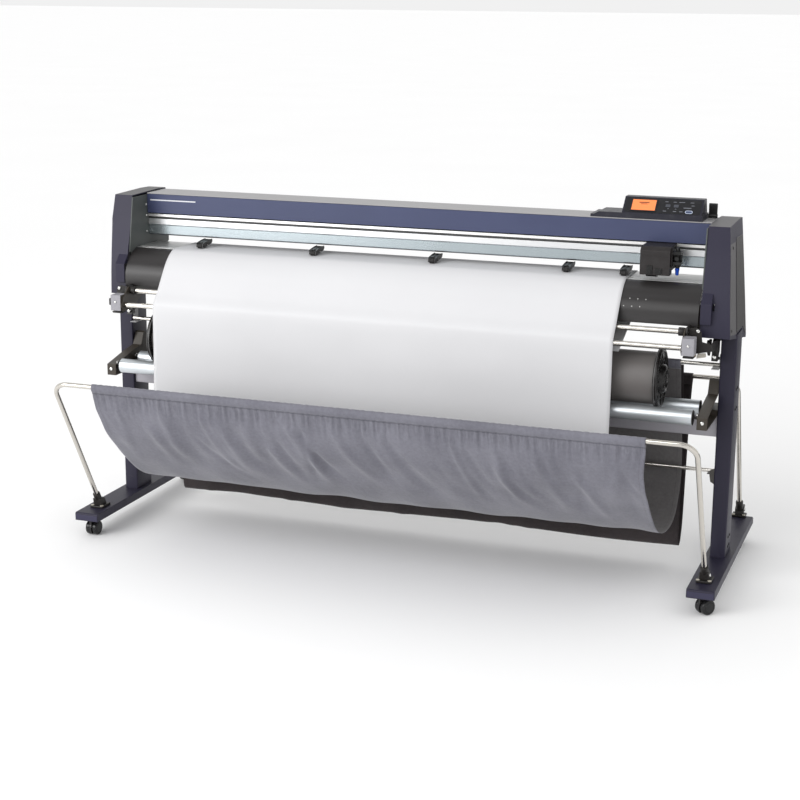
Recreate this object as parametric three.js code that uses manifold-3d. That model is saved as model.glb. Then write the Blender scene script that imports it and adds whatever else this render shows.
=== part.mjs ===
// A floor-standing roll cutter for vinyl and film, on a wheeled stand with two cloth baskets.
// Millimetres, +Z up. The operator stands at -Y, X runs along the cutting line, and the floor is Z = 0.
// Y = 0 is the middle of the floor space between the front basket bar and the rear ends of the feet.
import * as THREE from "three";
import { mergeVertices } from "three/addons/utils/BufferGeometryUtils.js";
import Module from "manifold-3d";

const wasm = await Module();
wasm.setup();

// ---------------------------------------------------------------- driving dimensions
const GAP = 0.3; // between faces that touch
const HALF_SPAN = 983; // half the length of the rail, platen and covers between the side frames

const FOOT = { x: [1019, 1106.5], y: [-310, 500.5], z: [61, 89.5], chamfer: 16 };
const LEG = { x: [1036, 1085.5], y: [11, 119], top: 822, wall: 3 };
const CROSS_BEAM = { y: [22, 62], z: [486, 571] };

const CASTER = { x: 1063, yFront: -274, yRear: 462, wheelR: 25, wheelWidth: 17, trail: 14, webWidth: 8 };

const COVER = { xInner: 988, xSide: 1090.5, wall: 3.5 };
const FRAME_PLATE = { x: [983.5, 987.5], bottom: 974, lowerX: [1031.7, 1035.7], lowerBottom: 800 };

const RAIL = { y: 53, back: 168, z: [1016, 1090] };
const TOP_COVER = { front: 48, back: 180, z: 1163, thick: 3, skirt: 1024 };
const FRONT_COVER = { y: 49, z: [1094, 1159], thick: 2 };

const BED = { y: [-34, 116], z: 985, thick: 4 };
const PINCH = { x: [-757, -337, 85, 535, 722], y: 0, wheelR: 8, wheelWidth: 16, pivotY: 62, pivotZ: 1004.5 };
const MEDIA = { x: [-838, 740], thick: 1.5, lift: 0.8 };
const DRUM = { r: 8.5, length: 60, shaftR: 3.5 };

const CARRIAGE = { x: [782, 876], y: [-52, 52.5], z: [1016, 1092], lipBack: -16, lipZ: 1004 };
const PANEL = { x: [597, 952], y: [50, 165], base: 1163.5, low: 1180, deckX: [697, 948], top: 1226, topY: 100 };

const ROD_R = 8.5;
const UPPER_ROD = { half: 956, y: -148, z: 853 };
const LOWER_ROD = { half: 949.7, y: -191, z: 811 };

const STOCK = { r: 24, half: 990, pinR: 5, front: [-159, 589.5], rear: [-26, 589.5] };
const ROLL = { half: 862, r: 82, flangeR: 95, flangeWidth: 16, y: -92.5 };

const BAR_R = 8;
const FRONT_BAR = { half: 1060, top: [-493, 593], foot: [-216.5, 98], bend: 52 };
const REAR_BAR = { half: 1060, top: [262, 622], foot: [487, 98], bend: 52 };
const CLOTH = { half: 912, thick: 4 };

// ---------------------------------------------------------------- finishes
function finish(color, metalness, roughness) {
  return new THREE.MeshStandardMaterial({ color, metalness, roughness });
}
const NAVY = finish(0x3a3a54, 0.1, 0.55);
const BLUE = finish(0x58668c, 0.3, 0.45);
const GREY_PAINT = finish(0x9a9a9c, 0.3, 0.5);
const DARK_PLATE = finish(0x4a4e4c, 0.3, 0.6);
const BLACK_PLASTIC = finish(0x1c1b1a, 0.0, 0.6);
const ALUMINIUM = finish(0xd8dde0, 0.9, 0.35);
const CHROME = finish(0xe8e6e2, 1.0, 0.15);
const BRONZE = finish(0x4a4036, 0.5, 0.5);
const CLOTH_GREY = finish(0x84848e, 0.0, 0.95);
const CLOTH_BLACK = finish(0x352f30, 0.0, 0.95);
const MEDIA_WHITE = finish(0xdadade, 0.0, 0.6);
const ROLL_GREY = finish(0x6a6664, 0.0, 0.7);
const DISPLAY_ORANGE = finish(0xff9650, 0.0, 0.3);
const KEY_GREY = finish(0x8a90a0, 0.0, 0.4);

// ---------------------------------------------------------------- solid helpers
function toSolid(geometry) {
  const bare = geometry.index ? geometry.toNonIndexed() : geometry.clone();
  for (const name of Object.keys(bare.attributes)) {
    if (name !== "position") bare.deleteAttribute(name);
  }
  const merged = mergeVertices(bare, 1e-3);
  return new wasm.Manifold(
    new wasm.Mesh({
      numProp: 3,
      vertProperties: merged.attributes.position.array,
      triVerts: new Uint32Array(merged.index.array),
    }),
  );
}

function toGeometry(solid) {
  const mesh = solid.getMesh();
  const geometry = new THREE.BufferGeometry();
  geometry.setAttribute("position", new THREE.BufferAttribute(mesh.vertProperties, 3));
  geometry.setIndex(new THREE.BufferAttribute(mesh.triVerts, 1));
  return geometry;
}

function box([x0, x1], [y0, y1], [z0, z1]) {
  const geometry = new THREE.BoxGeometry(x1 - x0, y1 - y0, z1 - z0);
  return geometry.translate((x0 + x1) / 2, (y0 + y1) / 2, (z0 + z1) / 2);
}

// A (y, z) outline carried along X from x0 to x1.
function prismX(outline, x0, x1) {
  const shape = new THREE.Shape(outline.map(([y, z]) => new THREE.Vector2(y, z)));
  const geometry = new THREE.ExtrudeGeometry(shape, { depth: x1 - x0, bevelEnabled: false });
  // Shape x becomes Y, shape y becomes Z, and the depth becomes X.
  const turn = new THREE.Matrix4().set(0, 0, 1, x0, 1, 0, 0, 0, 0, 1, 0, 0, 0, 0, 0, 1);
  return geometry.applyMatrix4(turn);
}

// An (x, z) outline carried along Y from y0 to y1.
function prismY(outline, y0, y1) {
  const shape = new THREE.Shape(outline.map(([x, z]) => new THREE.Vector2(x, z)));
  const geometry = new THREE.ExtrudeGeometry(shape, { depth: y1 - y0, bevelEnabled: false });
  const turn = new THREE.Matrix4().set(1, 0, 0, 0, 0, 0, -1, y1, 0, 1, 0, 0, 0, 0, 0, 1);
  return geometry.applyMatrix4(turn);
}

// A turned piece: [radius, x] pairs round an axis along X, starting and ending on the axis.
function turned(profile, y, z, sides = 20) {
  const points = profile.map(([r, x]) => new THREE.Vector2(r, x));
  return new THREE.LatheGeometry(points, sides).rotateZ(-Math.PI / 2).translate(0, y, z);
}

function rod(r, x0, x1, y, z, sides = 16) {
  return turned([[0, x0], [r, x0], [r, x1], [0, x1]], y, z, sides);
}

function union(...geometries) {
  return geometries.map(toSolid).reduce((whole, piece) => whole.add(piece));
}

function cut(from, ...tools) {
  const start = from.isBufferGeometry ? toSolid(from) : from;
  return tools.reduce((left, tool) => left.subtract(toSolid(tool)), start);
}

// The outline of a strip of the given thickness that follows a line of (y, z) points.
function strip(line, thick) {
  const half = thick / 2;
  const points = line.map(([y, z]) => new THREE.Vector2(y, z));
  const normals = points.map((p, i) => {
    const before = points[Math.max(i - 1, 0)];
    const after = points[Math.min(i + 1, points.length - 1)];
    const along = after.clone().sub(before).normalize();
    return new THREE.Vector2(-along.y, along.x);
  });
  const left = points.map((p, i) => [p.x + normals[i].x * half, p.y + normals[i].y * half]);
  const right = points.map((p, i) => [p.x - normals[i].x * half, p.y - normals[i].y * half]);
  return left.concat(right.reverse()).reverse();
}

// Points of a smooth line through the given (y, z) stations.
function smooth(stations, count) {
  const curve = new THREE.CatmullRomCurve3(
    stations.map(([y, z]) => new THREE.Vector3(y, z, 0)),
    false,
    "centripetal",
  );
  return curve.getSpacedPoints(count).map((p) => [p.x, p.y]);
}

// A line whose own points are the steps of a sweep, so straight lengths take one step each.
class SteppedLine extends THREE.Curve {
  constructor(points) {
    super();
    this.points = points;
  }
  getUtoTmapping(u) {
    return u;
  }
  getPoint(t, target = new THREE.Vector3()) {
    const place = THREE.MathUtils.clamp(t, 0, 1) * (this.points.length - 1);
    const i = Math.min(Math.floor(place), this.points.length - 2);
    return target.lerpVectors(this.points[i], this.points[i + 1], place - i);
  }
}

const root = new THREE.Group();

function add(name, shape, material, parent = root) {
  const mesh = new THREE.Mesh(shape.isBufferGeometry ? shape : toGeometry(shape), material);
  mesh.name = name;
  parent.add(mesh);
  return mesh;
}

// Each side piece is worked out for the right-hand (+X) side and mirrored for the left.
const SIDES = [["left", -1], ["right", 1]];
function mirrored(solid, side) {
  return side > 0 ? solid : solid.mirror([1, 0, 0]);
}

// ---------------------------------------------------------------- stand
function footBeam() {
  const { x, y, z, chamfer } = FOOT;
  const lowered = z[1] - 10;
  const outline = [
    [y[0], z[0]], [y[1], z[0]], [y[1], lowered], [y[1] - chamfer, z[1]],
    [y[0] + chamfer / 4, z[1]], [y[0], lowered + 6],
  ];
  return cut(prismX(outline, x[0], x[1]), box([x[0] + 3, x[1] - 3], [y[0] + 3, y[1] - 3], [z[0] - 1, z[1] - 4]));
}

function leg() {
  const { x, y, top, wall } = LEG;
  const bottom = FOOT.z[1] + GAP;
  const tube = box(x, y, [bottom, top]);
  const hollow = box([x[0] + wall, x[1] - wall], [y[0] + wall, y[1] - wall], [bottom - 1, top + 1]);
  return cut(tube, hollow);
}

// Two discs on one axle. The swivel stem stands ahead of the axle by the trail.
function casterWheels() {
  const { wheelR: r, wheelWidth, webWidth, trail } = CASTER;
  const inner = webWidth / 2 + 0.6;
  const outer = inner + wheelWidth;
  const axleR = 4;
  const side = [[axleR, inner], [r - 2, inner], [r, inner + 2], [r, outer - 3], [r - 3, outer], [0, outer]];
  const profile = side.map(([radius, x]) => [radius, -x]).reverse().concat(side);
  return turned(profile, trail, r, 24);
}

function casterFork() {
  const { wheelR: r, webWidth, trail } = CASTER;
  const top = FOOT.z[0] - GAP;
  const hood = rod(r + 3, -webWidth / 2, webWidth / 2, trail, r, 24);
  const plate = box([-14, 14], [-14, 14], [top - 4, top]);
  const stem = new THREE.CylinderGeometry(7, 7, 10, 16).rotateX(Math.PI / 2).translate(0, 0, top - 5);
  const web = box([-webWidth / 2, webWidth / 2], [-10, trail], [r + 10, top - 2]);
  const belowWheel = box([-20, 20], [-60, 60], [-30, 7]);
  return cut(union(hood, plate, stem, web), belowWheel, rod(4.5, -30, 30, trail, r, 16));
}

function addCaster(name, x, y, turn) {
  const swivel = new THREE.Group();
  swivel.position.set(x, y, 0);
  swivel.rotation.z = THREE.MathUtils.degToRad(turn);
  root.add(swivel);
  add("caster_fork_" + name, casterFork(), BLACK_PLASTIC, swivel);
  add("caster_wheels_" + name, casterWheels(), BLACK_PLASTIC, swivel);
}

for (const [name, side] of SIDES) {
  add("foot_beam_" + name, mirrored(footBeam(), side), NAVY);
  add("leg_" + name, mirrored(leg(), side), NAVY);
}
add("cross_beam", box([-LEG.x[0] + GAP, LEG.x[0] - GAP], CROSS_BEAM.y, CROSS_BEAM.z), GREY_PAINT);
addCaster("front_left", -CASTER.x, CASTER.yFront, 0);
addCaster("front_right", CASTER.x, CASTER.yFront, -40);
addCaster("rear_left", -CASTER.x, CASTER.yRear, 180);
addCaster("rear_right", CASTER.x, CASTER.yRear, 180);

// ---------------------------------------------------------------- side covers and frames
const COVER_OUTLINE = [
  [-48, 1165], [-57, 1112], [-66, 1063], [-91, 975], [-106, 910], [-113, 860], [-115, 832],
  [196, 781], [203, 792], [206, 900], [204, 1030], [197, 1163], [196, 1166], [133, 1168],
];
// The same outline drawn in by one wall, and open at the bottom.
const COVER_INSIDE = [
  [-45, 1161], [-54, 1111], [-62.5, 1062], [-87.5, 974], [-102, 909], [-109, 859], [-112, 700],
  [199.5, 700], [202.5, 900], [200.5, 1030], [193.5, 1160], [131, 1164],
];

// The outer wall leans in towards the top. The left-hand cover is also drawn in along its front edge.
const COVER_LEAN = { through: [1054, 0, 1165], normal: [0.99665, 0, 0.0818] };
const COVER_FRONT_FACET = { through: [1043, -118, 0], normal: [0.954, -0.301, 0] };

// A block that takes away everything beyond a facet, set in by the given distance.
function beyond({ through, normal }, inset) {
  const out = new THREE.Vector3(...normal).normalize();
  const turn = new THREE.Quaternion().setFromUnitVectors(new THREE.Vector3(0, 0, 1), out);
  const face = new THREE.Vector3(...through).addScaledVector(out, -inset);
  const block = new THREE.BoxGeometry(3000, 3000, 90).translate(0, 0, 45).applyQuaternion(turn);
  return block.translate(face.x, face.y, face.z);
}

function sideCover(planes) {
  const { xInner, xSide, wall } = COVER;
  const facets = (inset) => planes.map((plane) => beyond(plane, inset));
  const hollow = cut(prismX(COVER_INSIDE, xInner - 4, xSide - wall), ...facets(wall));
  const shell = cut(prismX(COVER_OUTLINE, xInner, xSide), ...facets(0), toGeometry(hollow));
  const legRecess = box([xInner - 1, 1027.5], [-105, 400], [700, 935]);
  const legNotch = box([1027, 1100], [LEG.y[0] - 3, LEG.y[1] + 3], [700, LEG.top + 3]);
  const capOutline = [[-121, 873], [-60, 873], [-60, 978], [-82, 978], [-121, 936]];
  const platenCap = prismX(capOutline, xInner, 1021);
  const capHollow = prismX([[-117, 870], [-55, 870], [-55, 974], [-80, 974], [-117, 934]], xInner - 1, 1018);
  return cut(shell, legRecess, legNotch).add(cut(platenCap, capHollow));
}

function sideFrame() {
  const { x, bottom, lowerX, lowerBottom } = FRAME_PLATE;
  const plate = prismX(
    [[-52, 1158], [-84, bottom], [204, bottom], [204, 1030], [194, 1150], [130, 1158]].reverse(),
    x[0], x[1],
  );
  const web = box([x[0], lowerX[1]], LEG.y, [bottom, bottom + 4]);
  const lowerPlate = box(lowerX, LEG.y, [lowerBottom, bottom + 4]);
  return union(plate, web, lowerPlate);
}

for (const [name, side] of SIDES) {
  const planes = side < 0 ? [COVER_LEAN, COVER_FRONT_FACET] : [COVER_LEAN];
  add("side_cover_" + name, mirrored(sideCover(planes), side), NAVY);
  add("side_frame_" + name, mirrored(sideFrame(), side), DARK_PLATE);
}
const motorBoss = rod(9, 991, 996, 60, 1020, 12);
add("drive_motor", union(rod(24, 995, 1042, 60, 1020, 20), motorBoss), BLACK_PLASTIC);

// ---------------------------------------------------------------- beam: rail and its covers
function guideRail() {
  const { y, back, z: [low, high] } = RAIL;
  const outline = [
    [y, high], [y, high - 9], [y + 7, high - 10], [y + 7, high - 15], [y + 1, high - 17],
    [y + 1, high - 36], [y + 5, high - 39], [y + 5, low + 4], [y + 10, low],
    [back, low], [back, high - 20], [back - 20, high],
  ];
  return prismX(outline.reverse(), -HALF_SPAN, HALF_SPAN);
}

function frontCover() {
  const { y, z: [low, high], thick } = FRONT_COVER;
  const outline = [
    [y, low], [y + 12, low], [y + 12, low + thick], [y + thick, low + thick],
    [y + thick, high - thick], [y + 14, high - thick], [y + 14, high], [y, high],
  ];
  return prismX(outline, -HALF_SPAN, HALF_SPAN);
}

function topCover() {
  const { front, back, z, thick, skirt } = TOP_COVER;
  const outline = [
    [front, z - thick], [back - thick, z - thick], [back - thick, skirt + thick],
    [back - 10, skirt + thick], [back - 10, skirt], [back, skirt], [back, z], [front, z],
  ];
  return prismX(outline, -HALF_SPAN, HALF_SPAN);
}

add("guide_rail", guideRail(), ALUMINIUM);
add("front_cover", frontCover(), BLUE);
add("top_cover", topCover(), GREY_PAINT);

const inletFace = TOP_COVER.back + GAP;
const inlet = cut(
  box([872, 914], [inletFace, inletFace + 12], [1062, 1092]),
  box([878, 908], [inletFace + 4, inletFace + 20], [1067, 1087]),
);
add("power_inlet", inlet, BLACK_PLASTIC);

// ---------------------------------------------------------------- platen, drive shaft and pinch rollers
function platen() {
  const { y, z, thick } = BED;
  const outline = [
    [y[0], z - 14], [y[0] + thick, z - 14], [y[0] + thick, z - thick], [y[1], z - thick],
    [140, z - 18], [163, z - 52], [172, z - 92], [176, z - 92], [167, z - 50], [143, z - 13],
    [y[1] + 4, z], [y[0], z],
  ];
  const slots = PINCH.x.map((x) =>
    box([x - DRUM.length / 2 - 2, x + DRUM.length / 2 + 2], [-10, 10], [z - 10, z + 10]),
  );
  return cut(prismX(outline, -HALF_SPAN, HALF_SPAN), ...slots);
}

// The curved skin that carries the sheet down in front of the bed.
const GUIDE_LINE = [[-36, 983], [-52, 978], [-74, 966], [-92, 950], [-109, 932], [-119, 912], [-122, 890], [-121, 866]];
function frontGuide() {
  return prismX(strip(smooth(GUIDE_LINE, 12), 3), -HALF_SPAN, HALF_SPAN);
}

function driveShaft() {
  const { r, length, shaftR } = DRUM;
  const z = BED.z + 0.3 - r;
  const profile = [[0, -HALF_SPAN], [shaftR, -HALF_SPAN]];
  for (const x of PINCH.x) {
    profile.push([shaftR, x - length / 2], [r, x - length / 2], [r, x + length / 2], [shaftR, x + length / 2]);
  }
  profile.push([shaftR, HALF_SPAN], [0, HALF_SPAN]);
  return turned(profile, PINCH.y, z, 16);
}

const pinchZ = BED.z + MEDIA.lift + MEDIA.thick + 0.3 + PINCH.wheelR;
function pinchArm(x) {
  const { y, pivotY, pivotZ, wheelWidth } = PINCH;
  const half = wheelWidth / 2;
  const cheek = [
    [y - 6, pinchZ - 4], [y + 6, pinchZ - 6], [pivotY, pivotZ - 7], [pivotY + 7, pivotZ - 4],
    [pivotY + 7, pivotZ + 5], [pivotY, pivotZ + 7], [y + 10, pinchZ + 11], [y - 4, pinchZ + 6],
  ];
  const blank = prismX(cheek, x - half - 4.5, x + half + 4.5);
  const fork = box([x - half - 0.6, x + half + 0.6], [y - 20, y + 11], [pinchZ - 12, pinchZ + 20]);
  return cut(blank, fork, rod(2.9, x - 30, x + 30, y, pinchZ, 12));
}

function pinchWheel(x) {
  const { wheelR: r, wheelWidth, y } = PINCH;
  const half = wheelWidth / 2;
  const profile = [
    [0, -half - 4], [2.5, -half - 4], [2.5, -half], [r - 1, -half], [r, -half + 1],
    [r, half - 1], [r - 1, half], [2.5, half], [2.5, half + 4], [0, half + 4],
  ];
  return turned(profile.map(([radius, along]) => [radius, along + x]), y, pinchZ, 20);
}

add("platen", platen(), ALUMINIUM);
add("front_guide", frontGuide(), BLACK_PLASTIC);
add("drive_shaft", driveShaft(), CHROME);
PINCH.x.forEach((x, i) => {
  add("pinch_arm_" + (i + 1), pinchArm(x), BLACK_PLASTIC);
  add("pinch_wheel_" + (i + 1), pinchWheel(x), BLACK_PLASTIC);
});

// ---------------------------------------------------------------- carriage and tool
function carriage() {
  const { x, y, z, lipBack, lipZ } = CARRIAGE;
  const body = prismX(
    [[y[0], lipZ], [lipBack, lipZ], [lipBack, z[0]], [y[1], z[0]], [y[1], z[1]], [y[0] + 12, z[1]], [y[0], z[1] - 12]],
    x[0], x[1],
  );
  const tongue = box([x[0] + 10, x[1] - 10], [y[1] - 5, y[1] + 5.5], [1076, 1079]);
  const arm = box([x[1] - 1, x[1] + 4], [-34, -6], [1030, 1086]);
  return union(body, tongue, arm);
}

function toolHolder() {
  const x = CARRIAGE.x[1] + 4 + GAP;
  const clamp = box([x, x + 26], [-34, -6], [1036, 1078]);
  const barrel = new THREE.CylinderGeometry(9, 9, 66, 20).rotateX(Math.PI / 2).translate(x + 13, -20, 1057);
  const cap = new THREE.CylinderGeometry(7, 5.5, 22, 20).rotateX(Math.PI / 2).translate(x + 13, -20, 1014);
  return union(clamp, barrel, cap);
}

add("carriage", carriage(), BLACK_PLASTIC);
add("tool_holder", toolHolder(), BLACK_PLASTIC);

// ---------------------------------------------------------------- operator panel and lever
const panelSlope = Math.atan2(PANEL.top - PANEL.low, PANEL.topY - PANEL.y[0]);
const deck = new THREE.Group();
deck.position.set(0, PANEL.y[0], PANEL.low);
deck.rotation.x = panelSlope;
root.add(deck);

// Keys: x, distance up the sloping face, width and depth.
const KEYS = {
  key_enter: { x: 907, up: 13, wide: 22, deep: 11 },
  key_left: { x: 838, up: 36, wide: 15, deep: 11 },
  key_right: { x: 864, up: 36, wide: 15, deep: 11 },
};
const DISPLAY = { x: [724, 800], up: [12, 56] };

function onDeck(geometry) {
  return geometry.rotateX(panelSlope).translate(0, PANEL.y[0], PANEL.low);
}

function controlPanel() {
  const { x, y, base, low, deckX, top, topY } = PANEL;
  const foot = prismX([[y[0] - 2, base], [y[1], base], [y[1] - 6, low], [y[0], low]], x[0], x[1]);
  const wedge = prismX([[y[0], low - 1], [y[1] - 5, low - 1], [138, top], [topY, top], [y[0], low]], deckX[0], deckX[1]);
  const wells = Object.values(KEYS).map(({ x: centre, up, wide, deep }) =>
    onDeck(box([centre - wide / 2 - 0.5, centre + wide / 2 + 0.5], [up - deep / 2 - 0.5, up + deep / 2 + 0.5], [-5, 5])),
  );
  const skirt = box([x[0] - 10, x[0] + 40], [y[0] - 10, y[1] + 10], [low - 8, low + 10]);
  const leftSlope = cut(skirt, prismY([[x[0] - 20, base - 8], [x[0] + 60, base - 8], [x[0] + 60, low + 4], [x[0] + 26, low]], 0, 200));
  return cut(union(foot, wedge), toGeometry(leftSlope), ...wells);
}

add("control_panel", controlPanel(), NAVY);
add("display", box(DISPLAY.x, DISPLAY.up, [GAP, 2]), DISPLAY_ORANGE, deck);
for (const [name, { x, up, wide, deep }] of Object.entries(KEYS)) {
  add(name, box([x - wide / 2, x + wide / 2], [up - deep / 2, up + deep / 2], [-2.6, 1.6]), KEY_GREY, deck);
}

function setLever() {
  const z = TOP_COVER.z + GAP;
  const blade = [[146, z + 4], [154, z + 4], [158, 1202], [155, 1209], [147, 1211], [142, 1206]];
  return union(prismX(blade, 955, 981), rod(7, 954, 982, 150, z + 7.2, 16));
}
add("set_lever", setLever(), BLACK_PLASTIC);

// ---------------------------------------------------------------- guide rods below the platen
function rodBracket() {
  const outline = [
    [11, 905], [119, 905], [119, 800], [60, 812], [-40, 838], [-150, 790], [-204, 790],
    [-218, 806], [-204, 836], [-160, 868], [-120, 861], [-60, 858],
  ].reverse();
  const plate = prismX(outline, 950, 954);
  const legWeb = box([950, FRAME_PLATE.lowerX[0] - GAP], [60, 64], [812, 900]);
  const legFlange = box([1027.4, FRAME_PLATE.lowerX[0] - GAP], [20, 110], [812, 900]);
  const block = prismX([[-217, 793], [-172, 790], [-172, 846], [-217, 846]], 953, 990);
  const upperHole = rod(ROD_R + GAP, 900, 960, UPPER_ROD.y, UPPER_ROD.z);
  return cut(union(plate, legWeb, legFlange, block), upperHole);
}

for (const [name, side] of SIDES) {
  add("rod_bracket_" + name, mirrored(rodBracket(), side), BRONZE);
}
add("upper_rod", rod(ROD_R, -UPPER_ROD.half, UPPER_ROD.half, UPPER_ROD.y, UPPER_ROD.z), CHROME);
add("lower_rod", rod(ROD_R, -LOWER_ROD.half, LOWER_ROD.half, LOWER_ROD.y, LOWER_ROD.z), CHROME);

// ---------------------------------------------------------------- stock rollers and the loaded roll
function rollerBracket() {
  const inner = 1003;
  const outer = LEG.x[0] - GAP;
  const outline = [
    [-176, 556], [16, 556], [21, 572], [119, 572], [119, 606], [70, 640], [40, 672], [30, 668], [10, 628],
    [-60, 618], [-176, 594],
  ];
  const hollow = [
    [-173, 559], [14, 559], [19, 575], [122, 575], [122, 602], [69, 636], [40, 664], [12, 625],
    [-59, 615], [-173, 591.5],
  ];
  const pins = [STOCK.front, STOCK.rear].map(([y, z]) => rod(STOCK.pinR + 0.4, inner - 5, inner + 14, y, z, 12));
  return cut(prismX(outline, inner, outer), prismX(hollow, inner + 3, outer + 1), ...pins);
}

function stockRoller([y, z]) {
  const { r, half, pinR } = STOCK;
  const end = half + 24;
  return turned(
    [[0, -end], [pinR, -end], [pinR, -half], [r - 1, -half], [r, -half + 1],
      [r, half - 1], [r - 1, half], [pinR, half], [pinR, end], [0, end]],
    y, z, 24,
  );
}

// The flanges rest on both stock rollers, so the roll's height follows from the circles.
const saddleHalf = (STOCK.rear[0] - STOCK.front[0]) / 2;
const saddleZ = (STOCK.rear[1] + STOCK.front[1]) / 2;
const touch = ROLL.flangeR + STOCK.r + 0.5;
const rollZ = saddleZ + Math.sqrt(touch * touch - saddleHalf * saddleHalf);

function rollCore() {
  const { half, flangeR, flangeWidth } = ROLL;
  const coreR = 38;
  const end = half + flangeWidth;
  const sideProfile = [
    [coreR, half + GAP], [flangeR - 2, half + GAP], [flangeR, half + 2], [flangeR, end - 4], [flangeR - 5, end],
    [46, end], [40, end + 12], [14, end + 14], [0, end + 14],
  ];
  const profile = sideProfile.map(([r, x]) => [r, -x]).reverse().concat(sideProfile);
  return turned(profile, ROLL.y, rollZ, 40);
}

function mediaRoll() {
  const { half, r } = ROLL;
  const bore = 38 + GAP;
  const profile = [[bore, -half], [r, -half], [r, half], [bore, half], [bore, -half]];
  return turned(profile, ROLL.y, rollZ, 40);
}

for (const [name, side] of SIDES) {
  add("roller_bracket_" + name, mirrored(rollerBracket(), side), BRONZE);
}
add("stock_roller_front", stockRoller(STOCK.front), ALUMINIUM);
add("stock_roller_rear", stockRoller(STOCK.rear), ALUMINIUM);
add("roll_core", rollCore(), BLACK_PLASTIC);
add("media_roll", mediaRoll(), ROLL_GREY);

// ---------------------------------------------------------------- baskets
// A U-shaped bar: up from one foot, round a bend, along X, and down to the other foot.
function basketBar({ half, top, foot, bend }) {
  const corner = new THREE.Vector3(half, top[0], top[1]);
  const end = new THREE.Vector3(half + 3, foot[0], foot[1]);
  const down = end.clone().sub(corner).normalize();
  const across = new THREE.Vector3(-1, 0, 0);
  const round = new THREE.QuadraticBezierCurve3(
    corner.clone().addScaledVector(down, bend), corner, corner.clone().addScaledVector(across, bend),
  );
  const rightHalf = [end, ...round.getPoints(6)];
  const leftHalf = rightHalf.map((p) => new THREE.Vector3(-p.x, p.y, p.z)).reverse();
  const line = new SteppedLine([...rightHalf, ...leftHalf]);
  const section = new THREE.Shape().absarc(0, 0, BAR_R, 0, 2 * Math.PI);
  return new THREE.ExtrudeGeometry(section, {
    steps: line.points.length - 1, curveSegments: 12, bevelEnabled: false, extrudePath: line,
  });
}

const MIDDLE_BAR = { y: 110, z: 350 };
const HANGING_BAR = { y: 21, z: 721 };
const FRONT_SLING = [
  [-493, 582], [-478, 510], [-428, 431], [-372, 370], [-290, 292], [-210, 233], [-125, 196], [-40, 186],
  [40, 202], [95, 245], [125, 300], [127, 352], [112, 440], [80, 540], [50, 620], [21, 710],
];
const REAR_SLING = [
  [262, 611], [236, 500], [214, 300], [196, 140], [172, 80], [150, 68], [134, 84], [133, 130], [136, 300],
  [133, 420], [118, 520], [96, 620], [78, 700],
];

add("front_basket_bar", basketBar(FRONT_BAR), CHROME);
add("rear_basket_bar", basketBar(REAR_BAR), CHROME);
const innerLeg = LEG.x[0] - GAP;
add("middle_bar", rod(6.5, -innerLeg, innerLeg, MIDDLE_BAR.y, MIDDLE_BAR.z), CHROME);
add("hanging_bar", rod(6.5, -innerLeg, innerLeg, HANGING_BAR.y, HANGING_BAR.z), CHROME);
add("basket_cloth", prismX(strip(smooth(FRONT_SLING, 30), CLOTH.thick), -CLOTH.half, CLOTH.half), CLOTH_GREY);
add("rear_cloth", prismX(strip(smooth(REAR_SLING, 30), CLOTH.thick), -CLOTH.half, CLOTH.half), CLOTH_BLACK);

// ---------------------------------------------------------------- loaded sheet
const sheetZ = BED.z + MEDIA.lift + MEDIA.thick / 2;
const SHEET_BACK = [
  [-117, 769], [30, 824], [160, 873], [174, 880], [180, 890], [177.5, 912], [171.5, 936], [160, 957],
  [147, 975], [136, 982], [122, sheetZ], [40, sheetZ],
];
const SHEET_FRONT = [
  [-32, sheetZ], [-46, 985], [-58, 980.5], [-77, 969], [-95.5, 953], [-113, 934], [-137, 902], [-170, 858],
  [-197, 828], [-203.5, 806], [-205.5, 740], [-208, 640], [-212, 500], [-216, 330],
];
const sheetLine = [...SHEET_BACK, ...smooth(SHEET_FRONT, 26)];
add("media_sheet", prismX(strip(sheetLine, MEDIA.thick), MEDIA.x[0], MEDIA.x[1]), MEDIA_WHITE);

export default root;
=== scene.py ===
"""A roll cutter for vinyl and film, on its wheeled stand with two cloth baskets.

The sections follow the way that the machine is put together, from the floor up. Each one holds its own
sizes, mesh, finish and frame calls. Metres, +Z up, the operator stands at -Y and X runs along the cut.
"""

import math

import bmesh
import bpy
import numpy as np
from mathutils import Matrix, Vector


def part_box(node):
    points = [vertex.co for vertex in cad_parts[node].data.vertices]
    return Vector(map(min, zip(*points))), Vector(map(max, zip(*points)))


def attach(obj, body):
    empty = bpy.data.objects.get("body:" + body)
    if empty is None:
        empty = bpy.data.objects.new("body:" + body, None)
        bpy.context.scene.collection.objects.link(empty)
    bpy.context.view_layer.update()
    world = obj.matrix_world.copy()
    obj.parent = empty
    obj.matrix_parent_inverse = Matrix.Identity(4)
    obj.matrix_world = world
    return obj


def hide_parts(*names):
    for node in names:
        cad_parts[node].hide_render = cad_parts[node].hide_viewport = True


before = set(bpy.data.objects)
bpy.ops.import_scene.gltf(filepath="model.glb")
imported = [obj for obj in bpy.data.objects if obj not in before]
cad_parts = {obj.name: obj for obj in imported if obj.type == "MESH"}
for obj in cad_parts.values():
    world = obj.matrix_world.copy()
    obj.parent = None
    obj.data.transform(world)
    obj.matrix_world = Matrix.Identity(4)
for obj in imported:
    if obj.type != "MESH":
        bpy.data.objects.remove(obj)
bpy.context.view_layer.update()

# ------------------------------------------------------------------ the view
# A long lens stands a little above the machine, in front of it and to its right.
# It turns to the left and down, with a slight roll.
camera_place = np.array([1.80842, -5.11520, 1.87027])
turn_left = math.radians(19.785)
tilt_down = math.radians(13.967)
roll = math.radians(0.391)
level = np.array([math.cos(turn_left), math.sin(turn_left), 0.0])
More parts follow.
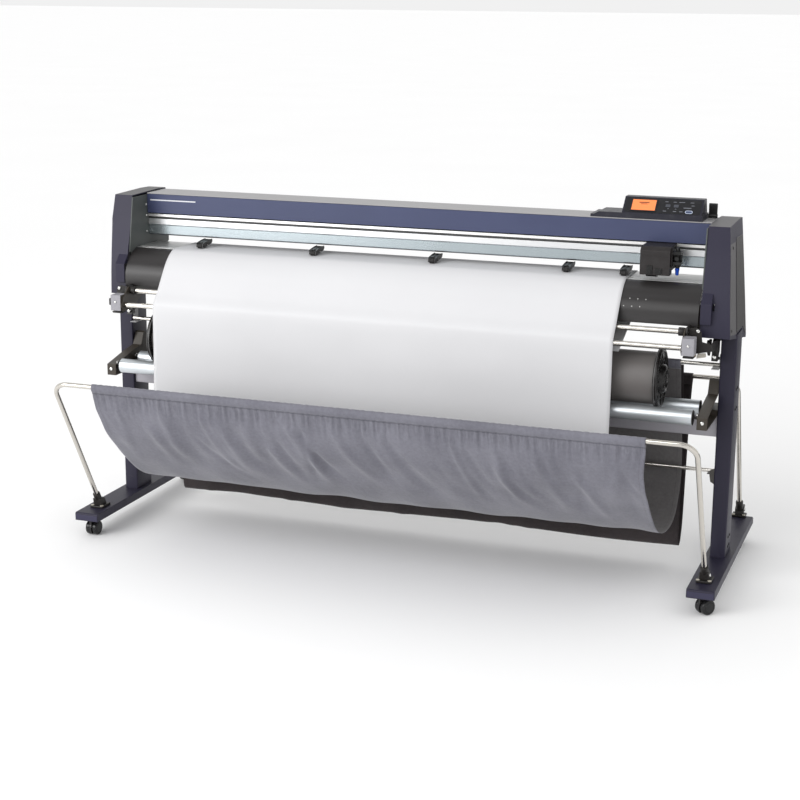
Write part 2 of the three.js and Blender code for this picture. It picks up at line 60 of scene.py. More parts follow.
ahead = np.array([
    -math.sin(turn_left) * math.cos(tilt_down),
    math.cos(turn_left) * math.cos(tilt_down),
    -math.sin(tilt_down),
])
upright = np.cross(level, ahead)
right = math.cos(roll) * level + math.sin(roll) * upright
up = math.cos(roll) * upright - math.sin(roll) * level

camera_data = bpy.data.cameras.new("view")
camera_data.lens = 74.90
camera_data.sensor_width = 36.0
camera_data.shift_x = 0.0030
camera_data.shift_y = -0.0009
camera_data.clip_end = 400.0
camera = bpy.data.objects.new("view", camera_data)
pose = np.eye(4)
pose[:3, 0] = right
pose[:3, 1] = up
pose[:3, 2] = -ahead
pose[:3, 3] = camera_place
camera.matrix_world = Matrix(pose.tolist())
bpy.context.scene.collection.objects.link(camera)
bpy.context.scene.camera = camera


# ------------------------------------------------------------------ studio
# A wide pale floor under an even white sky. A broad high light comes from the left in front, and two
# softboxes beside the operator give the bright metal something to reflect.
class Value:
    """What one shader node gives. Python's operators join it to other values with Math nodes."""

    def __init__(self, finish, socket):
        self.finish = finish
        self.socket = socket

    def maths(self, operation, first, second=0.0):
        return self.finish.node("ShaderNodeMath", {"operation": operation}, {0: first, 1: second})

    def __add__(self, other):
        return self.maths("ADD", self, other)

    def __radd__(self, other):
        return self.maths("ADD", other, self)

    def __sub__(self, other):
        return self.maths("SUBTRACT", self, other)

    def __rsub__(self, other):
        return self.maths("SUBTRACT", other, self)

    def __mul__(self, other):
        return self.maths("MULTIPLY", self, other)

    def __rmul__(self, other):
        return self.maths("MULTIPLY", other, self)

    def __gt__(self, other):
        return self.maths("GREATER_THAN", self, other)

    def __lt__(self, other):
        return self.maths("LESS_THAN", self, other)

    def sine(self):
        return self.maths("SINE", self)


class Finish:
    """A material built of nodes: a coat that is the same all over, and what changes over the surface."""

    def __init__(self, name, **constants):
        self.material = bpy.data.materials.new(name)
        self.material.use_nodes = True
        self.tree = self.material.node_tree
        self.shader = self.tree.nodes["Principled BSDF"]
        for socket, amount in constants.items():
            self.shader.inputs[socket.replace("_", " ")].default_value = amount

    def node(self, kind, settings=None, sockets=None, output=0):
        """Adds a node of this kind, sets it, feeds its sockets and returns one of its outputs."""
        made = self.tree.nodes.new(kind)
        for setting, value in (settings or {}).items():
            setattr(made, setting, value)
        for socket, value in (sockets or {}).items():
            self.feed(made.inputs[socket], value)
        return Value(self, made.outputs[output])

    def feed(self, socket, value):
        if isinstance(value, Value):
            self.tree.links.new(value.socket, socket)
        elif isinstance(value, tuple) and socket.type == "RGBA" and len(value) == 3:
            socket.default_value = (*value, 1.0)
        else:
            socket.default_value = value

    def paint(self, **sockets):
        """Feeds the shader's own sockets, such as Base_Color or Roughness."""
        for socket, value in sockets.items():
            self.feed(self.shader.inputs[socket.replace("_", " ")], value)
        return self.material

    def place(self):
        """The point on the piece in metres."""
        return self.node("ShaderNodeTexCoord", output="Object")

    def along(self, point, axis):
        return self.node("ShaderNodeSeparateXYZ", None, {0: point}, output=axis)

    def scaled(self, point, scale):
        return self.node("ShaderNodeMapping", None, {"Vector": point, "Scale": scale})

    def noise(self, point, scale, detail=2.0, rough=0.5):
        return self.node(
            "ShaderNodeTexNoise", None,
            {"Vector": point, "Scale": scale, "Detail": detail, "Roughness": rough},
        )

    def mixed(self, share, first, second):
        """From the first colour to the second as share goes from 0 to 1."""
        return self.node("ShaderNodeMix", {"data_type": "RGBA"}, {0: share, 6: first, 7: second}, output=2)

    def ramp(self, value, low, high):
        """0 below low, 1 above high, and a soft step between."""
        return self.node(
            "ShaderNodeMapRange", {"interpolation_type": "SMOOTHSTEP"},
            {"Value": value, "From Min": low, "From Max": high},
        )

    def raised(self, height, distance, strength=1.0, under=None):
        """A bump of this height pattern, in metres, on top of another bump."""
        sockets = {"Height": height, "Distance": distance, "Strength": strength}
        if under is not None:
            sockets["Normal"] = under
        return self.node("ShaderNodeBump", None, sockets)


def grey(level):
    return (level, level, level)


def hung_lamp(name, data, back, place=(0.0, 0.0, 0.0)):
    """Hangs a lamp at place. It shines away from back, which points from its target towards it."""
    lamp = bpy.data.objects.new(name, data)
    back = np.array(back) / np.linalg.norm(back)
    side = np.cross((0.0, 0.0, 1.0), back)
    side /= np.linalg.norm(side)
    turn = np.eye(4)
    turn[:3, 0] = side
    turn[:3, 1] = np.cross(back, side)
    turn[:3, 2] = back
    turn[:3, 3] = place
    lamp.matrix_world = Matrix(turn.tolist())
    bpy.context.scene.collection.objects.link(lamp)


def softbox(name, place, aim, size, power):
    """A rectangular white area light at place that faces aim."""
    data = bpy.data.lights.new(name, "AREA")
    data.shape = "RECTANGLE"
    data.size, data.size_y = size
    data.energy = power
    hung_lamp(name, data, np.array(place) - np.array(aim), place)


world = bpy.data.worlds.new("sky")
world.use_nodes = True
sky = world.node_tree.nodes["Background"]
sky.inputs["Color"].default_value = (1.0, 1.0, 1.0, 1.0)
sky.inputs["Strength"].default_value = 0.88
bpy.context.scene.world = world
bpy.context.scene.view_settings.view_transform = "Standard"

high_light = bpy.data.lights.new("high_light", "SUN")
high_light.energy = 1.15
high_light.angle = math.radians(50.0)
hung_lamp("high_light", high_light, (-0.48, -0.74, 0.48))
softbox("key", (-2.6, -3.6, 1.7), (-0.2, 0.0, 0.6), (2.4, 2.2), 60.0)
softbox("fill", (3.6, -4.2, 1.4), (0.2, 0.0, 0.7), (2.4, 2.0), 10.0)


def studio_sheet(name, corners, dark, light, **constants):
    """One flat four-cornered sheet of the studio, in a matt grey that drifts from dark to light."""
    coat = Finish(name, Roughness=0.9, **constants)
    coat.paint(Base_Color=coat.mixed(coat.noise(coat.place(), 0.7), grey(dark), grey(light)))
    mesh = bpy.data.meshes.new(name)
    mesh.from_pydata(corners, [], [(0, 1, 2, 3)])
    mesh.materials.append(coat.material)
    made = bpy.data.objects.new(name, mesh)
    bpy.context.scene.collection.objects.link(made)
    return made


floor_half = 120.0
studio_sheet(
    "floor",
    [(-floor_half, -floor_half, 0), (floor_half, -floor_half, 0),
     (floor_half, floor_half, 0), (-floor_half, floor_half, 0)],
    0.93, 0.96,
)

# Three dark cards show in reflections only: behind the operator, overhead, and on the floor beside the
# machine. They draw the dark lines on the bright tubes and keep the gloss on the dark paint low.
for card_name, tone, corners in (
    ("card_behind", 0.025, [(-9, -9, 0.3), (9, -9, 0.3), (9, -9, 2.8), (-9, -9, 2.8)]),
    ("card_above", 0.025, [(-8, -2.6, 5.5), (8, -2.6, 5.5), (8, -0.8, 5.5), (-8, -0.8, 5.5)]),
    ("card_beside", 0.22, [(1.5, 0.5, 0.002), (9, 0.5, 0.002), (9, 11, 0.002), (1.5, 11, 0.002)]),
):
    card = studio_sheet(card_name, corners, tone * 0.9, tone * 1.1, Specular_IOR_Level=0.0)
    card.visible_camera = False
    card.visible_diffuse = False
    card.visible_shadow = False


# ------------------------------------------------------------------ feet
# Two folded steel channels, powder-coated navy, open below, with a moulded cap pressed on the front end.
# The legs are bolted down on them.
def joined(*parts):
    """Several (points, faces) as one: each part's faces count on from the points before it."""
    points, faces, start = [], [], 0
    for part_points, part_faces in parts:
        points.append(np.asarray(part_points, float))
        faces += [tuple(int(i) + start for i in face) for face in part_faces]
        start += len(part_points)
    return np.concatenate(points), faces


def prism(outline, low, high, axis="X"):
    """A closed outline carried in a straight line: (y, z) along X, (x, y) along Z, or (x, z) along Y."""
    outline = np.asarray(outline, float)
    turn = np.roll(outline, -1, axis=0)
    if (outline[:, 0] * turn[:, 1] - turn[:, 0] * outline[:, 1]).sum() < 0:
        outline = outline[::-1]
    if axis == "Y":
        outline = outline[::-1]
    count = len(outline)
    ends = []
    for level in (low, high):
        column = np.full(count, level)
        first, second = outline[:, 0], outline[:, 1]
        ends.append(np.column_stack({
            "X": (column, first, second), "Y": (first, column, second), "Z": (first, second, column),
        }[axis]))
    ring = np.arange(count)
    after = np.roll(ring, -1)
    sides = np.column_stack((ring, after, after + count, ring + count))
    caps = [tuple(ring[::-1]), tuple(ring + count)]
    return np.concatenate(ends), [tuple(face) for face in sides] + caps


def block(low, high):
    """A box between two corners."""
    outline = [(low[1], low[2]), (high[1], low[2]), (high[1], high[2]), (low[1], high[2])]
    return prism(outline, low[0], high[0])


def placed(part, turn=None, move=(0.0, 0.0, 0.0)):
    """A part turned by a 3x3 matrix and then moved. A mirror turns its faces round too."""
    points, faces = part
    points = np.asarray(points, float)
    if turn is not None:
        turn = np.asarray(turn, float)
        points = points @ turn.T
        if np.linalg.det(turn) < 0:
            faces = [tuple(face[::-1]) for face in faces]
    return points + np.asarray(move, float), faces


MIRROR = np.diag((-1.0, 1.0, 1.0))


def on_side(part, side):
    return part if side > 0 else placed(part, MIRROR)


def read_back(shape):
    """The points and faces of a shape, once all its faces are turned outwards. The shape is freed."""
    bmesh.ops.recalc_face_normals(shape, faces=shape.faces[:])
    shape.verts.index_update()
    points = np.array([v.co for v in shape.verts], float).reshape(-1, 3)
    faces = [tuple(v.index for v in face.verts) for face in shape.faces]
    shape.free()
    return points, faces


def copied(node):
    """A CAD node's surface with its shared points merged and its flat faces whole again."""
    shape = bmesh.new()
    shape.from_mesh(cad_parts[node].data)
    bmesh.ops.remove_doubles(shape, verts=shape.verts[:], dist=2e-5)
    bmesh.ops.dissolve_limit(
        shape, angle_limit=math.radians(0.6), verts=shape.verts[:], edges=shape.edges[:],
    )
    return read_back(shape)


def piece(name, part, finish, body, replaces=(), ease=0.0, steps=2, crease=30.0):
    """Makes a named piece of a part. Its sharp edges are eased by a bevel of that width."""
    points, faces = part
    mesh = bpy.data.meshes.new(name)
    mesh.from_pydata([tuple(p) for p in np.asarray(points).tolist()], [], faces)
    mesh.update()
    mesh.polygons.foreach_set("use_smooth", np.ones(len(mesh.polygons), bool))
    mesh.materials.append(finish)
    made = bpy.data.objects.new(name, mesh)
    bpy.context.scene.collection.objects.link(made)
    if ease > 0:
        bevel = made.modifiers.new("eased_edges", "BEVEL")
        bevel.width = ease
        bevel.segments = steps
        bevel.limit_method = "ANGLE"
        bevel.angle_limit = math.radians(crease)
        bevel.use_clamp_overlap = True
        flat = made.modifiers.new("flat_faces", "WEIGHTED_NORMAL")
        flat.weight = 80
    else:
        mesh.set_sharp_from_angle(angle=math.radians(crease))
    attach(made, body)
    if replaces:
        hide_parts(*([replaces] if isinstance(replaces, str) else replaces))
    return made


def powder_coat(name, colour, roughness=0.45, worn=(0.25, 0.24, 0.24)):
    """Sprayed and baked paint: a fine orange peel, a slow drift in tone, and pale rubbed specks."""
    coat = Finish(name, Specular_IOR_Level=0.28)
    point = coat.place()
    drift = coat.noise(point, 5.0, 3.0)
    tone = coat.mixed(drift, tuple(c * 0.88 for c in colour), tuple(min(c * 1.12, 1.0) for c in colour))
    specks = coat.ramp(coat.noise(point, 310.0, 3.0, 0.7), 0.73, 0.80)
    scuffs = coat.ramp(coat.noise(coat.scaled(point, (9.0, 9.0, 40.0)), 1.6, 5.0, 0.65), 0.66, 0.80)
    peel = coat.noise(point, 620.0, 2.0)
    return coat.paint(
        Base_Color=coat.mixed(specks * 0.25 + scuffs * 0.10, tone, worn),
        Roughness=roughness - 0.08 + drift * 0.12 + scuffs * 0.08,
        Normal=coat.raised(peel, 0.0003, 0.55),
    )


SIDES = (("left", -1), ("right", 1))
navy_paint = powder_coat("navy_powder_coat", (0.022, 0.020, 0.037))
cap_plastic = powder_coat("foot_cap_plastic", (0.034, 0.032, 0.062), 0.38)

cap_inset, cap_drop = 0.0022, 0.007

for side_name, side in SIDES:
    node = "foot_beam_" + side_name
    low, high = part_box(node)
    piece(node + "_steel", copied(node), navy_paint, "machine", node, ease=0.0022, steps=3)
    cap_outline = [
        (low.x + cap_inset, low.z + cap_inset), (high.x - cap_inset, low.z + cap_inset),
        (high.x - cap_inset, high.z - cap_drop), (low.x + cap_inset, high.z - cap_drop),
    ]
    cap = prism(cap_outline, low.y - 0.0008, low.y + 0.004, "Y")
    piece("foot_cap_" + side_name, cap, cap_plastic, "machine", ease=0.0012)


# ------------------------------------------------------------------ casters
# Twin-wheel furniture casters of glossy black nylon, each pair of discs on one steel axle
# under a round hood. The stem turns in the foot.
def welded(points, faces):
    """A shape of these points and faces, for the joins and closed ends that a bare grid leaves open."""
    shape = bmesh.new()
    corners = [shape.verts.new(p) for p in points.tolist()]
    for face in faces:
        shape.faces.new([corners[k] for k in face])
    return shape


def turned(profile, centre=(0.0, 0.0, 0.0), axis="X", count=48):
    """A profile of (radius, place along the axis) pairs carried once round it, with closed poles."""
    profile = np.asarray(profile, float)
    angle = np.linspace(0.0, 2.0 * math.pi, count, endpoint=False)
    radius = profile[:, 0:1]
    round_y = radius * np.cos(angle)
    round_z = radius * np.sin(angle)
    along = np.repeat(profile[:, 1:2], count, axis=1)
    points = np.stack((along, round_y, round_z), axis=-1).reshape(-1, 3)
    rows = len(profile)
    i, j = np.meshgrid(np.arange(rows - 1), np.arange(count), indexing="ij")
    here, beside = i * count + j, i * count + (j + 1) % count
    quads = np.stack((here, beside, beside + count, here + count), axis=-1).reshape(-1, 4)
    shape = welded(points, quads.tolist())
    bmesh.ops.remove_doubles(shape, verts=shape.verts[:], dist=1e-7)
    bmesh.ops.dissolve_degenerate(shape, edges=shape.edges[:], dist=1e-7)
    points, faces = read_back(shape)
    if axis == "Y":
        points = points[:, (2, 0, 1)]
    if axis == "Z":
        points = points[:, (1, 2, 0)]
    return points + np.asarray(centre, float), faces


def glossy_plastic(name, colour, roughness=0.22, grain=0.25):
    """Moulded plastic: an even colour with dusty patches, and a faint grain from the mould."""
    coat = Finish(name, Specular_IOR_Level=0.35)
    point = coat.place()
    dust = coat.ramp(coat.noise(point, 38.0, 4.0, 0.6), 0.45, 0.85)
    return coat.paint(
        Base_Color=coat.mixed(dust * 0.22, colour, tuple(0.5 * c + 0.06 for c in colour)),
        Roughness=roughness + dust * 0.18,
        Normal=coat.raised(coat.noise(point, 900.0, 2.0), 0.00025, grain),
    )


def bright_steel(name, colour=(0.86, 0.84, 0.80), roughness=0.10):
    """Plated steel: nearly a mirror, with a slow ripple, fine polishing lines and cloudy finger marks."""
    coat = Finish(name, Metallic=1.0)
    point = coat.place()
    marks = coat.ramp(coat.noise(point, 24.0, 4.0, 0.6), 0.5, 0.8)
    lines = coat.noise(coat.scaled(point, (60.0, 900.0, 900.0)), 1.0, 2.0)
    return coat.paint(
        Base_Color=coat.mixed(marks, colour, tuple(c * 0.88 for c in colour)),
        Roughness=roughness + marks * 0.10 + lines * 0.05,
        Normal=coat.raised(lines, 0.0002, 0.12),
    )


wheel_plastic = glossy_plastic("caster_nylon", (0.010, 0.010, 0.011), 0.16)
hood_plastic = glossy_plastic("caster_hood_nylon", (0.014, 0.013, 0.014), 0.24)
axle_steel = bright_steel("caster_axle_steel")
caster_turns = {"front_left": 0.0, "front_right": -40.0, "rear_left": 180.0, "rear_right": 180.0}
wheel_radius = 0.025
inner, outer = 0.0047, 0.0215
tread = [(0.0, inner), (0.0044, inner), (0.021, inner), (0.0225, inner + 0.001), (0.0238, inner + 0.001)]
tread += [(0.0247, inner + 0.0022), (wheel_radius, inner + 0.004), (wheel_radius, outer - 0.0055)]
tread += [(0.0246, outer - 0.0036), (0.0236, outer - 0.0020), (0.0212, outer - 0.0006)]
tread += [(0.0190, outer), (0.0178, outer), (0.0172, outer - 0.0009), (0.0164, outer - 0.0009)]
tread += [(0.0158, outer), (0.0100, outer + 0.0004), (0.0, outer + 0.0006)]
axle_profile = [(0.0, -0.006), (0.0038, -0.006), (0.0038, 0.006), (0.0, 0.006)]
nut_profile = [(0.0, 0.0), (0.0095, 0.0), (0.0105, 0.0008), (0.0105, 0.0030), (0.0, 0.0030)]

for corner, degrees in caster_turns.items():
    low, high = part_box("caster_wheels_" + corner)
    hub = (low + high) / 2
    angle = math.radians(degrees)
    turn = np.array([
        [math.cos(angle), -math.sin(angle), 0.0], [math.sin(angle), math.cos(angle), 0.0], [0.0, 0.0, 1.0],
    ])
    disc = turned(tread, count=56)
    discs = [placed(disc, MIRROR), disc, turned(axle_profile, count=20)]
    piece(
        "caster_wheels_" + corner + "_nylon", placed(joined(*discs), turn, hub), wheel_plastic,
        "wheels_" + corner, "caster_wheels_" + corner,
    )
    node = "caster_fork_" + corner
    piece(node + "_hood", copied(node), hood_plastic, "caster_" + corner, node, ease=0.0008)
    stem_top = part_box(node)[1].z
    stem = np.array([hub.x, hub.y, 0.0]) + turn @ np.array([0.0, -0.014, stem_top - 0.0075])
    piece(
        "caster_nut_" + corner, turned(nut_profile, stem, "Z", 24), axle_steel,
        "caster_" + corner,
    )


# ------------------------------------------------------------------ legs and cross beam
# Square steel tubes, powder-coated navy, stand on the feet and carry the side frames. A box beam in
# pale grey paint ties them together behind the rollers. Small black screws hold the side brackets.
def rounded_box(low, high, radius, steps=4):
    """The outline of a rectangle whose corners are quarter circles."""
    quarter = np.linspace(0.0, 0.5 * math.pi, steps + 1)
    corners = ((high[0], high[1], 0), (low[0], high[1], 1), (low[0], low[1], 2), (high[0], low[1], 3))
    outline = []
    for x, y, turn in corners:
        inward = ((-1, -1), (1, -1), (1, 1), (-1, 1))[turn]
        centre = (x + inward[0] * radius, y + inward[1] * radius)
        for a in quarter + turn * 0.5 * math.pi:
            outline.append((centre[0] + radius * math.cos(a), centre[1] + radius * math.sin(a)))
    return outline


def screw_head(radius, height, count=20):
    """A pan head with a hexagon socket, standing on Z = 0 and facing +Z."""
    profile = [(0.0, 0.0), (radius, 0.0), (radius, height * 0.45), (radius * 0.9, height * 0.8)]
    profile += [(radius * 0.68, height), (radius * 0.48, height)]
    profile += [(radius * 0.42, height * 0.35), (0.0, height * 0.3)]
    return turned(profile, axis="Z", count=count)


def facing(direction):
    """The turn that brings +Z to this direction."""
    ahead_axis = np.asarray(direction, float)
    ahead_axis = ahead_axis / np.linalg.norm(ahead_axis)
    helper = np.array((0.0, 1.0, 0.0)) if abs(ahead_axis[1]) < 0.9 else np.array((1.0, 0.0, 0.0))
    first = np.cross(helper, ahead_axis)
    first /= np.linalg.norm(first)
    return np.column_stack((first, np.cross(ahead_axis, first), ahead_axis))


beam_paint = powder_coat("beam_grey_paint", (0.36, 0.35, 0.38), 0.40, (0.5, 0.5, 0.5))
screw_black = glossy_plastic("black_oxide_screw", (0.016, 0.015, 0.015), 0.30, 0.1)

for side_name, side in SIDES:
    node = "leg_" + side_name
    low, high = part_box(node)
    tube = prism(rounded_box((low.x, low.y), (high.x, high.y), 0.0045), low.z, high.z, "Z")
    piece(node + "_tube", tube, navy_paint, "machine", node, crease=40.0)
    outside = high.x if side > 0 else low.x
    screws = []
    for height in (0.640, 0.575, 0.150, 0.118):
        for depth in (0.052, 0.078):
            head = placed(screw_head(0.0048, 0.0024), facing((side, 0.0, 0.0)), (outside, depth, height))
            screws.append(head)
    piece("leg_screws_" + side_name, joined(*screws), screw_black, "machine", crease=45.0)

low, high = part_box("cross_beam")
beam = prism(rounded_box((low.y, low.z), (high.y, high.z), 0.006), low.x, high.x)
piece("cross_beam_box", beam, beam_paint, "machine", "cross_beam", crease=40.0)


# ------------------------------------------------------------------ side frames
# Laser-cut steel plates, painted dark grey-green, close the ends of the beam and reach down inside
# the covers to the legs. Three bright screws hold the rail at each end.
plate_paint = powder_coat("plate_grey_paint", (0.078, 0.086, 0.083), 0.5, (0.3, 0.3, 0.3))
bright_screw = bright_steel("bright_screw", (0.80, 0.80, 0.78), 0.18)
rail_low, rail_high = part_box("guide_rail")

for side_name, side in SIDES:
    node = "side_frame_" + side_name
    piece(node + "_plate", copied(node), plate_paint, "machine", node, ease=0.0006)
    low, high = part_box(node)
    inner_face = low.x if side > 0 else high.x
    heads = [
        placed(
            screw_head(0.0042, 0.0026), facing((-side, 0.0, 0.0)), (inner_face, rail_low.y - 0.012, height),
        )
        for height in (rail_high.z + 0.034, rail_high.z - 0.004, rail_low.z + 0.014)
    ]
    piece("frame_screws_" + side_name, joined(*heads), bright_screw, "machine", crease=45.0)


# ------------------------------------------------------------------ side covers
# Injection-moulded shells, satin navy, hang over the side frames, and their outer walls lean. A service panel
# is set in the right-hand wall behind a strip with two screws. Both are the navy plastic painted grey as lit
# from the right, the panel darker: painted light.
def moulded_shell(name, colour, lit_top_colour):
    """Satin moulded plastic with a spark-eroded grain. Near the top, where it faces up, it is painted lighter
    as lit from above.
    """
    coat = Finish(name, Specular_IOR_Level=0.28)
    point = coat.place()
    # Painted light: upward faces near the top are mixed towards the lit top colour, standing in for light
    # falling from above.
    facing_up = coat.along(coat.node("ShaderNodeNewGeometry", output=1), 2)
    upper = coat.ramp(facing_up, 0.25, 0.85)
    drift = coat.noise(point, 6.0, 3.0)
    tone = coat.mixed(drift, tuple(c * 0.9 for c in colour), tuple(c * 1.1 for c in colour))
    scratches = coat.ramp(coat.noise(coat.scaled(point, (30.0, 8.0, 55.0)), 1.5, 5.0, 0.7), 0.68, 0.82)
    near_top = coat.ramp(coat.along(point, 2), 1.08, 1.12)
    return coat.paint(
        Base_Color=coat.mixed(upper * 0.92 * near_top, coat.mixed(scratches * 0.12, tone, grey(0.25)), lit_top_colour),
        Roughness=0.40 + drift * 0.10,
        Normal=coat.raised(coat.noise(point, 800.0, 2.0, 0.6), 0.0003, 0.45),
    )


# The last colour of each shell is the painted light on its upward faces near the top.
cover_plastic = moulded_shell("side_cover_plastic", (0.021, 0.019, 0.038), (0.105, 0.102, 0.104))
# Painted light: the service panel and the strip are the navy plastic of the side wall, painted grey as lit
# from the right, with the panel darker than the strip.
panel_plastic = moulded_shell("service_panel_painted_lit", (0.040, 0.037, 0.037), (0.12, 0.12, 0.12))
strip_painted_lit = moulded_shell("cover_strip_painted_lit", (0.092, 0.088, 0.092), (0.16, 0.16, 0.16))


def wall_x(height):
    """Where the outer wall of the right-hand cover stands at this height. It leans in towards the top."""
    return 1.054 + (1.165 - height) * 0.0821


def on_side_wall(outline, thick, lift):
    """A (y, z) outline laid on the outer wall of the right-hand cover, as a plate."""
    points, faces = prism(outline, lift, lift + thick)
    points[:, 0] += wall_x(points[:, 2])
    return points, faces


panel_outline = [
    (0.052, 1.106), (0.068, 1.119), (0.184, 1.112), (0.192, 1.030), (0.195, 0.900), (0.192, 0.806),
    (0.180, 0.798), (0.130, 0.830), (0.012, 0.830),
]
strip_outline = [
    (-0.052, 1.112), (0.048, 1.108), (0.006, 0.826), (-0.108, 0.842), (-0.106, 0.862), (-0.099, 0.910),
    (-0.084, 0.975), (-0.059, 1.064),
]
for side_name, side in SIDES:
    node = "side_cover_" + side_name
    piece(
        node + "_shell", copied(node), cover_plastic, "machine", node,
        ease=0.0030, steps=3, crease=15.0,
    )
    panel = on_side_wall(panel_outline, 0.0030, -0.0012)
    piece(
        "service_panel_" + side_name, on_side(panel, side), panel_plastic, "machine",
        ease=0.0012,
    )
strip = on_side_wall(strip_outline, 0.0016, -0.0012)
piece("cover_strip", strip, strip_painted_lit, "machine", ease=0.0005)
heads = [
    placed(screw_head(0.0050, 0.0022), facing((1.0, 0.0, 0.08)), (wall_x(height) + 0.0003, depth, height))
    for depth, height in ((-0.008, 1.096), (-0.082, 0.852))
]
piece("cover_screws", joined(*heads), screw_black, "machine", crease=45.0)

# The motor of the drive shaft sits behind the cover in a plain black painted can.
motor_steel = powder_coat("motor_black", (0.02, 0.02, 0.021), 0.4)
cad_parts["drive_motor"].data.materials.clear()
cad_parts["drive_motor"].data.materials.append(motor_steel)


# ------------------------------------------------------------------ guide rail
# One long aluminium extrusion, anodised clear. The carriage runs in the groove near its top, painted dark as
# shade, and the broad face under the groove is polished, with a pale blue reflection painted into its colour.
def section(points_mm, low, high):
    """An outline in millimetres carried along X between two places in metres."""
    return prism(np.asarray(points_mm, float) * 0.001, low, high)


def anodised(name, colour, roughness=0.30, bands=()):
    """Brushed aluminium: fine lines along X in its gloss and relief, with level bands of another colour.
    Each band is (lowest, highest, colour, roughness) in Z."""
    coat = Finish(name, Metallic=0.85)
    point = coat.place()
    height = coat.along(point, 2)
    lines = coat.noise(coat.scaled(point, (3.0, 1400.0, 1400.0)), 1.0, 3.0, 0.6)
    smears = coat.ramp(coat.noise(coat.scaled(point, (4.0, 30.0, 30.0)), 1.0, 4.0), 0.5, 0.75)
    tone = coat.mixed(lines, tuple(c * 0.92 for c in colour), tuple(min(c * 1.06, 1.0) for c in colour))
    gloss = roughness + smears * 0.08 + lines * 0.06
    for low_edge, high_edge, band_colour, band_gloss in bands:
        inside = (height > low_edge) * (height < high_edge)
        tone = coat.mixed(inside, tone, band_colour)
        gloss = gloss * (1 - inside) + inside * band_gloss
    return coat.paint(
        Base_Color=tone, Roughness=gloss, Normal=coat.raised(lines, 0.0002, 0.15),
    )


# Bands in Z. Painted shade: the groove and the chamfer at the foot are painted dark. Painted reflection: the
# broad lower face is painted pale blue.
rail_tone_and_painted_light_bands = (
    (1.0815, 1.0895, (0.88, 0.87, 0.86), 0.35),
    (1.0740, 1.0810, (0.10, 0.10, 0.10), 0.6),
    (1.0545, 1.0735, (0.80, 0.81, 0.82), 0.30),
    (1.0195, 1.0520, (0.42, 0.475, 0.50), 0.24),
    (1.0150, 1.0192, (0.22, 0.23, 0.25), 0.45),
)
rail_metal = anodised("rail_anodised", (0.80, 0.83, 0.85), 0.30, rail_tone_and_painted_light_bands)
y, back, base, top = 53.0, 168.0, 1016.0, 1090.0
rail_outline = [
    (y, top), (y, top - 9), (y + 7, top - 10), (y + 7, top - 15), (y + 1, top - 17), (y + 1, top - 35.5),
    (y + 2.6, top - 37.5), (y + 5, top - 39), (y + 5, base + 5), (y + 10, base), (back, base),
    (back, top - 20), (back - 20, top),
]
piece(
    "guide_rail_extrusion", section(rail_outline, rail_low.x, rail_high.x), rail_metal, "machine",
    "guide_rail", ease=0.0006,
)


# ------------------------------------------------------------------ covers of the beam
# The folded front cover is satin blue, and a pale grey sheet folds over the top and down the back.
# A plain pale line is printed at the left-hand end of the front cover.
blue_paint = powder_coat("front_cover_blue", (0.053, 0.063, 0.126), 0.36, (0.4, 0.42, 0.5))
top_paint = powder_coat("top_cover_grey", (0.33, 0.325, 0.33), 0.42, (0.55, 0.55, 0.55))
for node, coat, slot in (("front_cover", blue_paint, "blue_paint"), ("top_cover", top_paint, "grey_paint")):
    piece(node + "_sheet", copied(node), coat, "machine", node, ease=0.0007, steps=3)

line_ink = powder_coat("printed_line", (0.66, 0.67, 0.70), 0.5)
low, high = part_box("front_cover")
line_start = low.x + 0.012
line = block(
    (line_start, low.y - 0.0002, high.z - 0.022), (line_start + 0.175, low.y, high.z - 0.018),
)
piece("printed_line", line, line_ink, "machine")

inlet_plastic = glossy_plastic("inlet_plastic", (0.012, 0.012, 0.012), 0.35)
piece(
    "power_inlet_socket", copied("power_inlet"), inlet_plastic, "machine", "power_inlet",
    ease=0.0008,
)
low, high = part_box("power_inlet")
inlet_pins = []
for offset, rise in ((-0.007, 0.0), (0.0, 0.004), (0.007, 0.0)):
    x, z = (low.x + high.x) / 2 + offset, (low.z + high.z) / 2 + rise
    inlet_pins.append(block((x - 0.0008, low.y + 0.0035, z - 0.002), (x + 0.0008, high.y - 0.001, z + 0.002)))
piece("inlet_pins", joined(*inlet_pins), bright_screw, "machine")


# ------------------------------------------------------------------ platen and its curved guides
# The bed is a flat aluminium extrusion with a pale cutting strip let into it. In front of it a bent
# black skin carries the sheet down, and six small suction holes show beside the loaded sheet.
# Grooves along the bed as (front, rear, grey level) in Y, each painted darker inside as shade.
bed_grooves_painted_shade = ((-0.0260, -0.0215, 0.30), (0.0115, 0.0150, 0.35))


def bed_metal(name):
    """Brushed aluminium with grooves along X at fixed depths in Y, sunk in the relief and painted darker
    inside as shade.
    """
    coat = Finish(name, Metallic=0.8)
    point = coat.place()
    depth = coat.along(point, 1)
    lines = coat.noise(coat.scaled(point, (3.0, 1500.0, 1500.0)), 1.0, 3.0, 0.6)
    tone = coat.mixed(lines, (0.70, 0.70, 0.69), (0.84, 0.84, 0.83))
    height = lines * 0.1
    for front, rear, shade_level_inside in bed_grooves_painted_shade:
        inside = (depth > front) * (depth < rear)
        tone = coat.mixed(inside, tone, grey(shade_level_inside))
        height = height - inside
    return coat.paint(
        Base_Color=tone, Roughness=0.28 + lines * 0.10, Normal=coat.raised(height, 0.0004, 0.5),
    )


piece(
    "platen_bed", copied("platen"), bed_metal("bed_aluminium"), "machine", "platen", ease=0.0005,
)
strip_finish = glossy_plastic("cutting_strip", (0.62, 0.62, 0.60), 0.4)
low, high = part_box("platen")
strip_height = 0.9850
strip = block(
    (low.x + 0.01, -0.0205, strip_height - 0.0002), (high.x - 0.01, -0.0125, strip_height + 0.0003),
)
piece("cutting_strip", strip, strip_finish, "machine")


